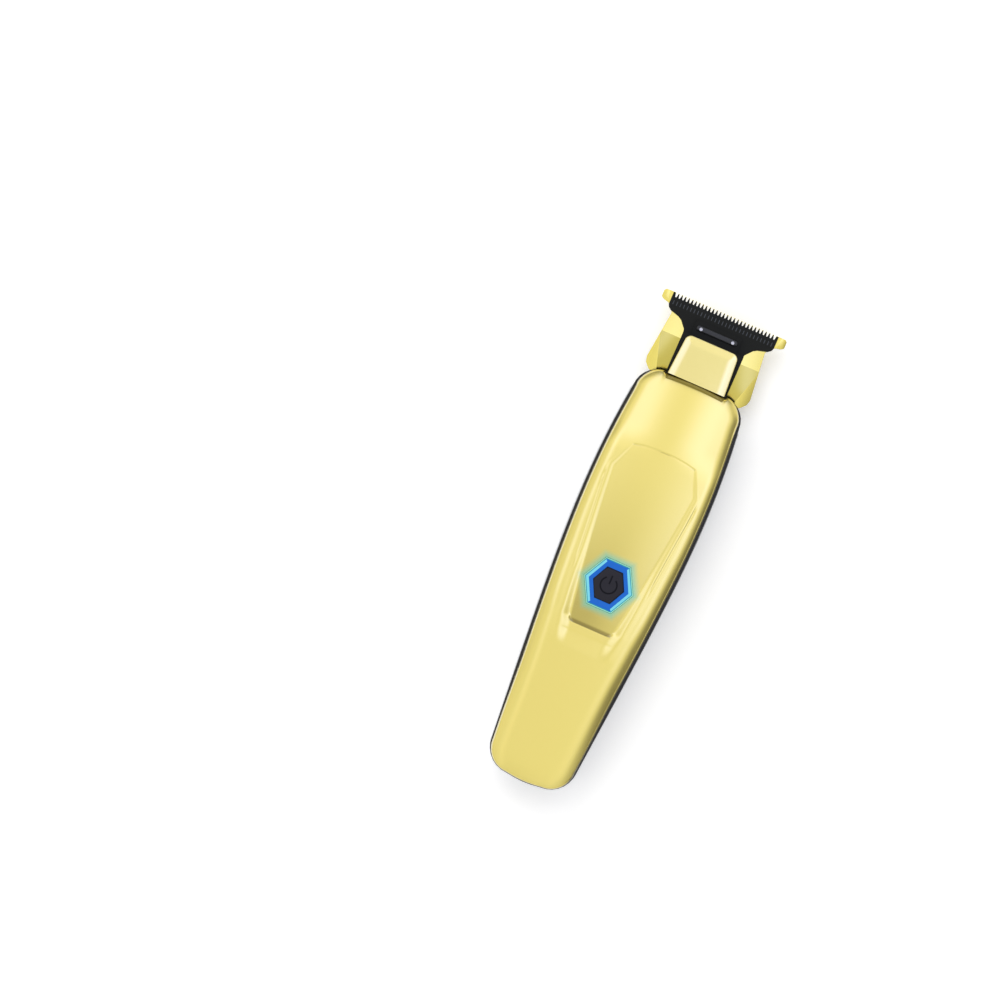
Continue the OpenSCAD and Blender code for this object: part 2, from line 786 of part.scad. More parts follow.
// The raised rim round the thumb panel, lofted through five sections of y, half width and rise
module panel_ridge() {
    stations = [
        [panel_top_y, panel_top_w / 2, 0.02],
        [panel_shoulder_y, panel_wide_w / 2, 0.25],
        [panel_lip_y - 1.6, panel_foot_w / 2, rim_rise],
        [panel_lip_y - 4.5, panel_foot_w / 2 - 0.3, rim_rise * 0.8],
        [panel_foot_y, panel_foot_w / 2 - 1.2, 0.02]
    ];
    spread = 1;
    loft([for (s = stations)
        let (z = face_line(s[0]))
        [[s[1] + spread, s[0], z - 1.2], [s[1] + 0.1, s[0], z - 0.2], [s[1] - 0.9, s[0], z + s[2]],
         [0.9 - s[1], s[0], z + s[2]], [-s[1] - 0.1, s[0], z - 0.2], [-s[1] - spread, s[0], z - 1.2]]]);
}

// What is cut away inside that rim: sections of y, half width and depth under the face
module panel_floor() {
    stations = [
        [panel_top_y - 1.2, panel_top_w / 2 - 0.6, 0.1],
        [panel_shoulder_y - 0.4, panel_wide_w / 2 - rim_w, 0.25],
        [panel_lip_y, panel_foot_w / 2 - rim_w - 1.05, floor_sink]
    ];
    loft([for (s = stations)
        let (z = face_line(s[0]))
        [[s[1], s[0], z - s[2]], [s[1] + 0.8, s[0], z + 4],
         [-s[1] - 0.8, s[0], z + 4], [-s[1], s[0], z - s[2]]]]);
}

// The opening that the head's frame passes through
module neck_cut(y0, y1, z0, z1) {
    box(-neck_w / 2 - neck_clear, neck_w / 2 + neck_clear, y0, y1, z0, z1);
}

module front_shell() {
    color("gold") difference() {
        union() {
            difference() {
                union() {
                    translate([0, 0, front_rim_z]) dome(
                        seam_show, head_y, front_wall, front_edge_w, front_edge_share,
                        function(y) face_line(y) - front_rim_z
                    );
                    panel_ridge();
                }
                panel_floor();
            }
            box(-pad_w / 2, pad_w / 2, button_y - pad_l / 2, button_y + pad_l / 2, pad_z, pad_top_z);
            for (s = screw_spots)
                translate([s.x, s.y, split_z]) cylinder(r = boss_r, h = boss_top_z - split_z);
        }
        hex_block(ring_corner_w, ring_flat_w, button_clear, pad_z - 1, face_top + 3);
        neck_cut(head_y - 5, head_y + 2, front_rim_z - 1, frame_top_z + gap);
        for (s = screw_spots)
            translate([s.x, s.y, split_z - 1]) cylinder(r = screw_r, h = screw_top_z - split_z + 1.2);
        for (sx = [-1, 1], sy = [-1, 1])
            translate([sx * post_x, button_y + sy * post_y, pad_z - 1]) cylinder(r = 0.9, h = 2.2);
    }
}

module rear_shell() {
    color("silver") difference() {
        union() {
            translate([0, 0, seam_z]) mirror([0, 0, 1]) dome(
                0, head_y - rear_setback, rear_wall, rear_edge_w, rear_edge_share,
                function(y) seam_z - back_line(y), rear_square, rear_swell
            );
            for (s = screw_spots)
                translate([s.x, s.y, seam_z]) cylinder(r = boss_r, h = split_z - seam_z);
            intersection() {
                translate([0, 0, seam_z]) mirror([0, 0, 1]) dome_body(
                    0, head_y - rear_setback, rear_edge_w, rear_edge_share,
                    function(y) seam_z - back_line(y), rear_square, rear_swell
                );
                for (s = screw_spots)
                    translate([s.x, s.y, 0]) cylinder(r = boss_r, h = seam_z + 1);
            }
        }
        neck_cut(head_y - 12, head_y, blade_z - 0.9, seam_z + 2);
        box(
            -insert_w / 2 - insert_clear, insert_w / 2 + insert_clear, tail_y - 2, tail_y + 5,
            insert_z0 - insert_clear, insert_z1 + insert_clear
        );
        for (s = screw_spots) {
            translate([s.x, s.y, -1]) cylinder(r = screw_head_r + 0.1, h = s.z + 1);
            translate([s.x, s.y, 0]) cylinder(r = screw_r + 0.15, h = split_z + 2);
        }
    }
}

// A wall across the inside of the casing, cut to clear its rounded edges
module cross_wall(y, t, top_z) {
    w = side_half(y) - 3.9;
    translate([0, y + t, 0]) rotate([90, 0, 0]) linear_extrude(t) polygon([
        [w - 5, 4], [w - 0.8, 8.5], [w, seam_z - skirt_drop], [w, front_rim_z + 1],
        [w - 3, top_z - 1], [w - 5, top_z],
        [5 - w, top_z], [3 - w, top_z - 1],
        [-w, front_rim_z + 1], [-w, seam_z - skirt_drop], [0.8 - w, 8.5], [5 - w, 4]
    ]);
}

module chassis() {
    top = front_rim_z;
    color("#181818") difference() {
        union() {
            difference() {
                translate([0, 0, seam_z]) linear_extrude(band_h) difference() {
                    polygon(outline(0, head_y));
                    polygon(outline(band_w, head_y));
                }
                neck_cut(head_y - 10, head_y + 2, 0, 40);
            }
            translate([0, 0, seam_z - skirt_drop]) linear_extrude(skirt_drop + band_h) intersection() {
                difference() {
                    polygon(outline(band_w - 0.02, head_y));
                    polygon(outline(band_w + skirt_w, head_y));
                }
                translate([-40, skirt_rear_y]) square([80, bulkhead_y - skirt_rear_y]);
            }
            cross_wall(motor_front_y, bulkhead_t, 27.6);
            cross_wall(rear_wall_y, rear_wall_t, board_z - 1.4);
        }
        y_rod(0, motor_front_y - 1, axis_z, hub_r + 0.1, bulkhead_t + 2);
        y_rod(0, rear_wall_y - 1, axis_z, hub_r + 0.4, rear_wall_t + 2);
        for (s = [-1, 1])
            y_rod(0, motor_front_y - 1, axis_z + s * motor_screw_at, motor_screw_r + 0.1, bulkhead_t + 2);
        both_sides() y_rod(head_screw_x, motor_front_y + 0.2, axis_z, head_screw_r, bulkhead_t + 2);
    }
}

module shell_screws() {
    color("dimgray") for (s = screw_spots)
        translate(s) screw(screw_r, screw_head_r, screw_head_h, screw_top_z - s.z);
}

// ---- Motor and crank ----

module eccentric_cam() {
    color("#c9b06a") difference() {
        union() {
            y_rod(0, cam_rear_y, axis_z, cam_r, cam_l);
            difference() {
                y_rod(0, cam_rear_y + 0.4, axis_z, weight_r, weight_l);
                box(-10, 10, cam_rear_y - 1, cam_rear_y + 5, axis_z - 0.5, axis_z + 10);
            }
        }
        y_rod(0, cam_rear_y - 1, axis_z, shaft_r, shaft_in_cam + 1);
        y_rod(0, pin_rear_y, axis_z + crank_r, pin_r, 10);
    }
}

module drive_pin() {
    color("silver") y_rod(0, pin_rear_y, axis_z + crank_r, pin_r, pin_l);
}

module motor_shaft() {
    rear = rear_race_y + 0.3;
    color("silver") y_rod(0, rear, axis_z, shaft_r, cam_rear_y + shaft_in_cam - rear);
}

module rotor_core() {
    color("gray") y_tube(stator_y + (stator_l - magnet_l) / 2, axis_z, core_r, shaft_r, magnet_l);
}

module rotor_magnet() {
    color("#333338") y_tube(stator_y + (stator_l - magnet_l) / 2, axis_z, magnet_r, core_r, magnet_l);
}

module stator_core() {
    bore_r = magnet_r + air_gap;
    color("slategray") translate([0, stator_y + stator_l, axis_z]) rotate([90, 0, 0])
        linear_extrude(stator_l) difference() {
            circle(r = can_r);
            difference() {
                circle(r = can_r - stator_yoke);
                for (i = [0 : stator_teeth - 1]) rotate(i * 360 / stator_teeth)
                    translate([0, -stator_tooth_w / 2]) square([can_r, stator_tooth_w]);
            }
            circle(r = bore_r);
        }
}

module stator_coils() {
    r0 = magnet_r + air_gap + 0.8;
    w = stator_tooth_w / 2;
    r1 = sqrt(pow(can_r - stator_yoke - 0.1, 2) - pow(w + coil_t, 2));
    color("#b87333") for (i = [0 : stator_teeth - 1])
        translate([0, 0, axis_z]) rotate([0, i * 360 / stator_teeth, 0]) difference() {
            box(r0, r1, stator_y - coil_over, stator_y + stator_l + coil_over, -w - coil_t, w + coil_t);
            box(r0 - 1, r1 + 1, stator_y - 0.02, stator_y + stator_l + 0.02, -w - 0.02, w + 0.02);
        }
}

module sensor_board() {
    color("darkgreen") difference() {
        y_tube(sensor_board_y, axis_z, can_r - 0.1, shaft_r + 3.6, sensor_board_t);
        for (a = [60, 180, 300])
            translate([0, 0, axis_z]) rotate([0, a, 0]) y_rod(9.4, sensor_board_y - 1, 0, 0.5, 4);
    }
}

module motor_can() {
    color("gray") y_tube(motor_rear_y + motor_plate_t, axis_z, motor_r, can_r, motor_l - 2 * motor_plate_t);
}

module motor_front_plate() {
    color("dimgray") difference() {
        union() {
            y_rod(0, motor_front_y - motor_plate_t, axis_z, motor_r, motor_plate_t);
            y_rod(0, motor_front_y - motor_plate_t - hub_in, axis_z, hub_r, motor_plate_t + hub_in + hub_out);
        }
        y_rod(0, motor_front_y - motor_plate_t - hub_in - 1, axis_z, race_r, race_w + 1.2);
        y_rod(0, motor_front_y - 3, axis_z, shaft_r + 0.9, 10);
        for (s = [-1, 1])
            y_rod(0, motor_front_y - motor_plate_t - 1, axis_z + s * motor_screw_at, motor_screw_r, 10);
    }
}

module motor_rear_cap() {
    color("dimgray") difference() {
        union() {
            y_rod(0, motor_rear_y, axis_z, motor_r, motor_plate_t);
            y_rod(0, motor_rear_y - hub_out + 0.5, axis_z, hub_r, motor_plate_t + hub_in + hub_out - 0.5);
        }
        y_rod(0, rear_race_y, axis_z, race_r, 20);
        for (x = [-2.4, 0, 2.4]) y_rod(x, motor_rear_y - 1, axis_z + 8.5, lead_hole_r, motor_plate_t + 2);
    }
}

// The ball bearings' rings: the rear one of the pair is the same bearing at the other end of the shaft
module outer_races() {
    color("lightgray") for (y = [front_race_y, rear_race_y]) y_tube(y, axis_z, race_r, outer_race_r, race_w);
}

module inner_races() {
    color("lightgray") for (y = [front_race_y, rear_race_y]) y_tube(y, axis_z, inner_race_r, shaft_r, race_w);
}

module bearing_balls() {
    color("silver") for (y = [front_race_y, rear_race_y], i = [0 : balls - 1])
        translate([0, y + race_w / 2, axis_z]) rotate([0, i * 360 / balls, 0])
            translate([ball_ring_r, 0, 0]) sphere(r = ball_r);
}

module bearing_cages() {
    color("tan") for (y = [front_race_y, rear_race_y])
        y_tube(y + race_w / 2 + ball_r + 0.02, axis_z, ball_ring_r + 0.25, ball_ring_r - 0.25, 0.4);
}

module motor_screws() {
    color("silver") for (s = [-1, 1])
        translate([0, bulkhead_y, axis_z + s * motor_screw_at]) rotate([90, 0, 0])
            screw(motor_screw_r, 1.7, 0.7, bulkhead_t + motor_plate_t);
}

module motor_cushion() {
    color("#202020") y_tube(rear_wall_y + rear_wall_t, axis_z, hub_r + 2.6, hub_r, cushion_l);
}

// ---- Button and electronics ----

module power_button() {
    color("#28262c") union() {
        hex_block(button_corner_w, button_flat_w, 0, button_z, button_top_z);
        hex_block(button_corner_w, button_flat_w, button_flange, button_z, button_z + button_flange_t);
    }
}

module light_ring() {
    color("dodgerblue") difference() {
        union() {
            hex_block(ring_corner_w, ring_flat_w, 0, ring_z, ring_top_z);
            hex_block(ring_corner_w, ring_flat_w, flange_w, ring_z, ring_z + flange_t);
        }
        hex_block(button_corner_w, button_flat_w, button_clear, ring_z - 1, ring_top_z + 1);
    }
}

module button_gasket() {
    color("#202020") difference() {
        hex_block(ring_corner_w, ring_flat_w, flange_w, ring_z + flange_t, pad_z);
        hex_block(ring_corner_w, ring_flat_w, button_clear, ring_z, pad_z + 1);
    }
}

module button_carrier() {
    color("#2a2a2a") difference() {
        union() {
            box(
                -carrier_w / 2, carrier_w / 2, button_y - carrier_l / 2, button_y + carrier_l / 2,
                ring_z - carrier_t, ring_z
            );
            for (sx = [-1, 1], sy = [-1, 1])
                translate([sx * post_x, button_y + sy * post_y, board_top_z])
                    cylinder(r = post_r, h = pad_z - board_top_z);
        }
        hex_block(button_corner_w, button_flat_w, button_flange + 0.4, ring_z - 3, ring_z + 1);
        for (sx = [-1, 1], sy = [-1, 1])
            translate([sx * post_x, button_y + sy * post_y, board_z - 1]) cylinder(r = 1, h = 20);
    }
}

module switch_body() {
    color("#333333") difference() {
        box(
            -switch_w / 2, switch_w / 2, button_y - switch_w / 2, button_y + switch_w / 2,
            board_top_z, board_top_z + switch_h
        );
        translate([0, button_y, board_top_z + 0.2]) cylinder(r = plunger_r + 0.06, h = switch_h);
    }
}

module switch_plunger() {
    bottom = board_top_z + 0.3 + button_travel;
    color("white") translate([0, button_y, bottom]) cylinder(r = plunger_r, h = button_z - bottom);
}

module control_board() {
    color("darkgreen") difference() {
        box(-board_w / 2 - 1, board_w / 2 + 1, board_rear_y, board_front_y, board_z, board_top_z);
        for (sx = [-1, 1], sy = [-1, 1])
            translate([sx * post_x, button_y + sy * post_y, board_z - 1]) cylinder(r = 1, h = 4);
    }
}

module board_screws() {
    color("silver") for (sx = [-1, 1], sy = [-1, 1])
        translate([sx * post_x, button_y + sy * post_y, board_z]) screw(0.9, 1.5, 1, pad_z + 1 - board_z);
}

module led_chips() {
    color("lightyellow") for (i = [0 : 5])
        translate([0, button_y, board_top_z]) rotate(60 * i + 30)
            translate([led_ring_r - 0.8, -0.8, 0]) cube([1.6, 1.6, 0.8]);
}

module driver_chips() {
    color("#222222") {
        box(-7.5, -2.5, button_y - 22, button_y - 17, board_top_z, board_top_z + 1);
        box(2, 8, button_y - 21.5, button_y - 17.5, board_top_z, board_top_z + 1.5);
    }
}

module board_capacitors() {
    color("#3a3a55") for (x = [-6, 0, 6])
        translate([x, button_y - 25.2, board_top_z]) cylinder(r = 2, h = 4);
}

module motor_connector() {
    color("ivory") difference() {
        box(-4.6, 4.6, board_front_y - 4.3, board_front_y - 0.2, board_top_z, board_top_z + 3);
        for (x = [-2.4, 0, 2.4]) y_rod(x, board_front_y - 2.1, board_top_z + 1.5, lead_hole_r, 4);
    }
}

module motor_leads() {
    z0 = axis_z + 8.5;
    z1 = board_top_z + 1.5;
    y0 = motor_rear_y + motor_plate_t - 0.2;
    y1 = board_front_y - 2;
    color("#aa3333") for (x = [-2.4, 0, 2.4])
        wire(curve([x, y0, z0], [x, y0 - 6, z0], [x, y1 + 5, z1], [x, y1, z1], 12), lead_r);
}

// ---- Battery ----

module battery_cell() {
    color("#2b62b0") union() {
        y_rod(0, cell_rear_y, cell_z, cell_r, cell_l - 1);
        y_rod(0, cell_rear_y + cell_l - 1, cell_z, 4, 1);
    }
}

module battery_tray() {
    y0 = cell_rear_y - tab_t - tray_end_gap - tray_end_t;
    y1 = cell_front_y + tab_t + tray_end_gap + tray_end_t;
    color("#242424") difference() {
        union() {
            translate([0, 0, tray_top_z - tray_flange_t]) linear_extrude(tray_flange_t) intersection() {
                polygon(outline(band_w + 0.6, head_y));
                translate([-40, y0]) square([80, y1 - y0]);
            }
            intersection() {
                y_rod(0, y0, cell_z, cell_r + tray_clear + tray_t, y1 - y0);
                box(-20, 20, y0 - 1, y1 + 1, 0, tray_top_z);
            }
        }
        y_rod(0, y0 + tray_end_t, cell_z, cell_r + tray_clear, y1 - y0 - 2 * tray_end_t);
    }
}

module battery_tabs() {
    color("lightgray") {
        box(-3, 5, cell_front_y, cell_front_y + tab_t, cell_z - 2.5, cell_z + 5.5);
        box(-5, 3, cell_rear_y - tab_t, cell_rear_y, cell_z - 2.5, cell_z + 5.5);
    }
}

module battery_leads() {
    z = cell_z + 4.6;
    z1 = cell_z + cell_r;
    y1 = cell_front_y + tab_t + lead_end;
    y0 = cell_rear_y - tab_t - lead_end;
    ye = board_rear_y - lead_end;
    color("#cc2222") wire(
        curve([4, y1, z], [4, y1 + 2.6, z], [4, y1 + 2, z + 3], [4, y1 + 2, board_z - lead_end], 10),
        lead_r
    );
    color("#222222") wire(concat(
        curve([-4, y0, z], [-4, y0 - 2.6, z], [-4, y0 - 2.6, z1 + 2.4], [-4, y0 + 3, z1], 12),
        curve([-4, ye - 8, z1], [-4, ye - 4, z1], [-4, ye - 4, board_z + 0.6], [-4, ye, board_z + 0.6], 8)
    ), lead_r);
}

// ---- Charging ----

module charge_board() {
    color("darkgreen") box(
        -charge_board_w / 2, charge_board_w / 2, insert_y1 + 0.2, cell_rear_y - 2.5,
        socket_z - charge_board_t, socket_z
    );
}

module charge_socket() {
    w = socket_w / 2;
    color("silver") difference() {
        box(-w, w, socket_y, socket_y + socket_l, socket_z, socket_z + socket_h);
        difference() {
            box(
                -w + socket_wall, w - socket_wall, socket_y - 1, socket_y + socket_l - 1,
                socket_z + socket_wall, socket_z + socket_h - socket_wall
            );
            box(
                -3.35, 3.35, socket_y + 0.8, socket_y + socket_l,
                socket_z + socket_h / 2 - 0.35, socket_z + socket_h / 2 + 0.35
            );
        }
    }
}

module charge_insert() {
    w = insert_w / 2;
    color("#1c1c1c") difference() {
        union() {
            box(-w, w, insert_y0, insert_y1, insert_z0, insert_z1);
            box(-w - insert_flange, w + insert_flange, insert_y1 - 1, insert_y1, insert_z0, insert_z1 + 0.6);
        }
        box(
            -socket_w / 2 - insert_clear, socket_w / 2 + insert_clear, insert_y0 - 1, insert_y1 + 1,
            socket_z - insert_clear, socket_z + socket_h + insert_clear
        );
        both_sides() y_rod(contact_x, insert_y0 - 1, contact_z, contact_r + 0.01, insert_y1 - insert_y0 + 2);
    }
}

module charge_contacts() {
    color("gold") both_sides() union() {
        y_rod(contact_x, insert_y0 - 0.2, contact_z, contact_r, insert_y1 - insert_y0 + 1.2);
        box(
            contact_x - 0.5, contact_x + 0.5, insert_y1 + 0.2, insert_y1 + 1,
            socket_z, contact_z
        );
    }
}

module charge_leads() {
    y0 = cell_rear_y - 3.6;
    z0 = socket_z + lead_end;
    z1 = cell_z + cell_r;
    ye = board_rear_y - lead_end;
    colours = ["#cc2222", "#222222"];
    for (i = [0, 1]) {
        x = 4.6 + 1.7 * i;
        color(colours[i]) wire(concat(
            curve([x, y0, z0], [x, y0, z0 + 8], [x, y0, z1 + 2], [x, y0 + 7, z1], 12),
            curve([x, ye - 8, z1], [x, ye - 4, z1], [x, ye - 4, board_z + 0.6], [x, ye, board_z + 0.6], 8)
        ), lead_r);
    }
}

fixed_blade();
cutter_blade();
cutter_guide();
cutter_rivets();
tension_spring();
blade_screws();
head_frame();
head_screws();
neck_cover();
front_shell();
rear_shell();
chassis();
shell_screws();
eccentric_cam();
drive_pin();
motor_shaft();
rotor_core();
rotor_magnet();
stator_core();
stator_coils();
sensor_board();
motor_can();
motor_front_plate();
motor_rear_cap();
outer_races();
inner_races();
bearing_balls();
bearing_cages();
motor_screws();
motor_cushion();
power_button();
light_ring();
button_gasket();
button_carrier();
switch_body();
switch_plunger();
control_board();
board_screws();
led_chips();
driver_chips();
board_capacitors();
motor_connector();
motor_leads();
battery_cell();
battery_tray();
battery_tabs();
battery_leads();
charge_board();
charge_socket();
charge_insert();
charge_contacts();
charge_leads();
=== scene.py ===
import json
import math

import bmesh
import bpy
import numpy as np
from mathutils import Matrix, Vector


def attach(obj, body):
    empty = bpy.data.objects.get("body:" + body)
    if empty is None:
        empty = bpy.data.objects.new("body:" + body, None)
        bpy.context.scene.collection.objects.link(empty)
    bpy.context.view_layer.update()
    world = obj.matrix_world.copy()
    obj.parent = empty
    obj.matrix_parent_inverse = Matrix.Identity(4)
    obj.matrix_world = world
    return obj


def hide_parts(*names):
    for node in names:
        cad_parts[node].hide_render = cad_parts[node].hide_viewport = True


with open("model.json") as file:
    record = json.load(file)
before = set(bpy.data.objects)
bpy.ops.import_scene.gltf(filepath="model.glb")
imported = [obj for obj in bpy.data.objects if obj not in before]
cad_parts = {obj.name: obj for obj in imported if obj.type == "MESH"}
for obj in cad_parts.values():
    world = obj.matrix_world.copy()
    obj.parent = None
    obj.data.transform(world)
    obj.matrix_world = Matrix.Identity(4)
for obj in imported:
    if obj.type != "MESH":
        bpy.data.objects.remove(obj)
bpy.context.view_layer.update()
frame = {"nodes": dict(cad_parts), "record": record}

# ---------------------------------------------------------------- camera
# The clipper lies on its back, turned clockwise, and is seen almost straight from above.
# A long lens stands a little to its left, 1.2 m away.
lean = math.radians(-1.7)
roll = math.radians(23.6)
aim = Vector((-0.04595, -0.0023, 0.016))
stand_off = 1.2
toward = Vector((-math.sin(lean), 0, math.cos(lean)))
across = Vector((math.cos(lean), 0, math.sin(lean)))
right = across * math.cos(roll) + Vector((0, math.sin(roll), 0))
up = -across * math.sin(roll) + Vector((0, math.cos(roll), 0))
camera_data = bpy.data.cameras.new("camera")
camera_data.sensor_width = 36
camera_data.lens = 125.2
camera_data.clip_end = 20
camera = bpy.data.objects.new("camera", camera_data)
camera.matrix_world = Matrix((right, up, toward)).transposed().to_4x4()
camera.matrix_world.translation = aim + toward * stand_off
bpy.context.collection.objects.link(camera)
bpy.context.scene.camera = camera

# ---------------------------------------------------------------- studio
# A pale floor, a soft box overhead and a surround whose level and tint change with the direction.
# Only the camera sees the plain white background. The plated faces mirror the surround instead,
# with its blue-weighted streak overhead, and one dark card on the floor at the right.
scene = bpy.context.scene
scene.view_settings.view_transform = "Standard"
world = bpy.data.worlds.new("studio")
scene.world = world
world.use_nodes = True
nodes, links = world.node_tree.nodes, world.node_tree.links
nodes.clear()


def world_sum(kind, a, b):
    """One arithmetic node of the world, fed by sockets or numbers."""
    node = nodes.new("ShaderNodeMath")
    node.operation = kind
    for socket, value in zip(node.inputs, (a, b)):
        if isinstance(value, (int, float)):
            socket.default_value = value
        else:
            links.new(value, socket)
    return node.outputs[0]


direction = nodes.new("ShaderNodeTexCoord")
split = nodes.new("ShaderNodeSeparateXYZ")
links.new(direction.outputs["Generated"], split.inputs[0])
turn = world_sum("ARCTAN2", split.outputs[1], split.outputs[0])
turn = world_sum("ADD", world_sum("DIVIDE", turn, 2 * math.pi), 0.5)
ring = nodes.new("ShaderNodeValToRGB")
ring.color_ramp.interpolation = "EASE"
stops = [(0.0, 0.8), (0.2, 0.8), (0.36, 0.7), (0.43, 0.35), (0.5, 0.25), (0.56, 0.35), (0.63, 0.9), (0.69, 0.4),
         (0.75, 0.18), (0.85, 0.4), (1.0, 0.8)]
while len(ring.color_ramp.elements) < len(stops):
    ring.color_ramp.elements.new(0.5)
for element, (place, level) in zip(ring.color_ramp.elements, stops):
    element.position = place
    element.color = (level, level, level, 1)
links.new(turn, ring.inputs[0])
height = nodes.new("ShaderNodeMapRange")
height.interpolation_type = "SMOOTHSTEP"
height.inputs["From Min"].default_value = 0.2
height.inputs["From Max"].default_value = 0.75
links.new(split.outputs[2], height.inputs["Value"])


def world_level(axis, stops):
    """A level from 0 to 2 that follows one axis of the direction, from -1 to 1."""
    ramp = nodes.new("ShaderNodeValToRGB")
    while len(ramp.color_ramp.elements) < len(stops):
        ramp.color_ramp.elements.new(0.99)
    for element, (place, level) in zip(ramp.color_ramp.elements, stops):
        element.position = place / 2 + 0.5
        element.color = (level / 2, level / 2, level / 2, 1)
    links.new(world_sum("ADD", world_sum("MULTIPLY", split.outputs[axis], 0.5), 0.5), ramp.inputs[0])
    return world_sum("MULTIPLY", ramp.outputs["Color"], 2.0)


lengthwise = world_level(1, [
    (-1, 0.9), (-0.4, 0.96), (-0.16, 0.98), (-0.05, 0.97), (0.1, 1.0), (0.2, 1.07), (0.32, 1.09), (0.5, 1.05),
    (0.74, 0.85), (1, 0.5)])
crosswise = world_level(0, [
    (-1, 0.95), (-0.6, 0.93), (-0.45, 0.95), (-0.22, 1.02), (-0.1, 0.93), (0, 0.94), (0.06, 0.98), (0.2, 1.0),
    (0.3, 0.98), (0.45, 0.88), (0.6, 0.66), (0.75, 0.45), (0.9, 0.27), (1, 0.2)])
streak = world_level(0, [
    (-0.52, 0), (-0.38, 0.6), (-0.3, 0.9), (-0.22, 0.55), (-0.16, 0.15), (-0.06, 0), (0.03, 0), (0.07, 0.14),
    (0.1, 0.3), (0.135, 0.55), (0.17, 0.8), (0.22, 1.0), (0.3, 0.95), (0.38, 0.4), (0.5, 0)])
streak_run = world_level(1, [
    (-0.18, 0.06), (-0.143, 0.15), (-0.112, 0.55), (-0.098, 0.95), (-0.084, 1.0), (-0.05, 1.0), (0.6, 1.0)])
plain_light = world_sum("MULTIPLY", lengthwise, crosswise)
seen = nodes.new("ShaderNodeLightPath")
# The streak shows in reflections only, so that it doesn't tint the floor
streak = world_sum("MULTIPLY", streak, streak_run)
streak = world_sum("MULTIPLY", streak, world_sum("SUBTRACT", 1.0, seen.outputs["Is Diffuse Ray"]))
streak_tint = (0.22, 0.3, 1.3)
overhead = nodes.new("ShaderNodeCombineColor")
for socket, share in zip(overhead.inputs, streak_tint):
    links.new(world_sum("ADD", plain_light, world_sum("MULTIPLY", streak, share)), socket)
blend = nodes.new("ShaderNodeMix")
blend.data_type = "RGBA"
links.new(height.outputs["Result"], blend.inputs[0])
links.new(ring.outputs["Color"], blend.inputs[6])
links.new(overhead.outputs[0], blend.inputs[7])
studio_light = nodes.new("ShaderNodeBackground")
links.new(blend.outputs[2], studio_light.inputs["Color"])
backdrop = nodes.new("ShaderNodeBackground")
backdrop.inputs["Color"].default_value = (1, 1, 1, 1)
backdrop.inputs["Strength"].default_value = 1.0
chosen = nodes.new("ShaderNodeMixShader")
links.new(seen.outputs["Is Camera Ray"], chosen.inputs[0])
links.new(studio_light.outputs[0], chosen.inputs[1])
links.new(backdrop.outputs[0], chosen.inputs[2])
world_out = nodes.new("ShaderNodeOutputWorld")
links.new(chosen.outputs[0], world_out.inputs["Surface"])

floor_mesh = bpy.data.meshes.new("floor")
bm = bmesh.new()
bmesh.ops.create_grid(bm, x_segments=2, y_segments=2, size=3.0)
bm.to_mesh(floor_mesh)
bm.free()
floor = bpy.data.objects.new("floor", floor_mesh)
bpy.context.collection.objects.link(floor)
floor_mat = bpy.data.materials.new("floor")
floor_mat.use_nodes = True
nodes, links = floor_mat.node_tree.nodes, floor_mat.node_tree.links
paint = nodes["Principled BSDF"]
paint.inputs["Roughness"].default_value = 0.7
coords = nodes.new("ShaderNodeTexCoord")
grain = nodes.new("ShaderNodeTexNoise")
grain.inputs["Scale"].default_value = 3
links.new(coords.outputs["Object"], grain.inputs["Vector"])
tones = nodes.new("ShaderNodeMix")
tones.data_type = "RGBA"
tones.inputs[6].default_value = (0.93, 0.93, 0.93, 1)
tones.inputs[7].default_value = (0.95, 0.95, 0.95, 1)
links.new(grain.outputs["Fac"], tones.inputs[0])
links.new(tones.outputs[2], paint.inputs["Base Color"])
eye = nodes.new("ShaderNodeLightPath")
lift = nodes.new("ShaderNodeMath")
lift.operation = "MULTIPLY"
lift.inputs[1].default_value = 0.25
links.new(eye.outputs["Is Camera Ray"], lift.inputs[0])
links.new(tones.outputs[2], paint.inputs["Emission Color"])
links.new(lift.outputs[0], paint.inputs["Emission Strength"])
floor_mesh.materials.append(floor_mat)

lamp_data = bpy.data.lights.new("soft_box", "AREA")
lamp_data.energy = 9
lamp_data.size = 1.2
lamp = bpy.data.objects.new("soft_box", lamp_data)
lamp.location = (-0.5, 0.7, 1.6)
lamp.rotation_euler = (Vector((0, 0, 0)) - lamp.location).to_track_quat("-Z", "Y").to_euler()
bpy.context.collection.objects.link(lamp)
lamp.visible_glossy = False

# The dark card shows in reflections only
card_mesh = bpy.data.meshes.new("right_card")
bm = bmesh.new()
bmesh.ops.create_grid(bm, x_segments=1, y_segments=1, size=0.5)
bmesh.ops.scale(bm, vec=(0.061, 0.152, 1), verts=bm.verts)
bmesh.ops.translate(bm, vec=(0.0495, -0.024, 0.0005), verts=bm.verts)
bm.to_mesh(card_mesh)
bm.free()
card = bpy.data.objects.new("right_card", card_mesh)
bpy.context.collection.objects.link(card)
card_mat = bpy.data.materials.new("right_card")
card_mat.use_nodes = True
paint = card_mat.node_tree.nodes["Principled BSDF"]
paint.inputs["Base Color"].default_value = (0.2, 0.2, 0.2, 1)
paint.inputs["Roughness"].default_value = 0.9
card_mesh.materials.append(card_mat)
card.visible_camera = False
card.visible_diffuse = False
card.visible_shadow = False


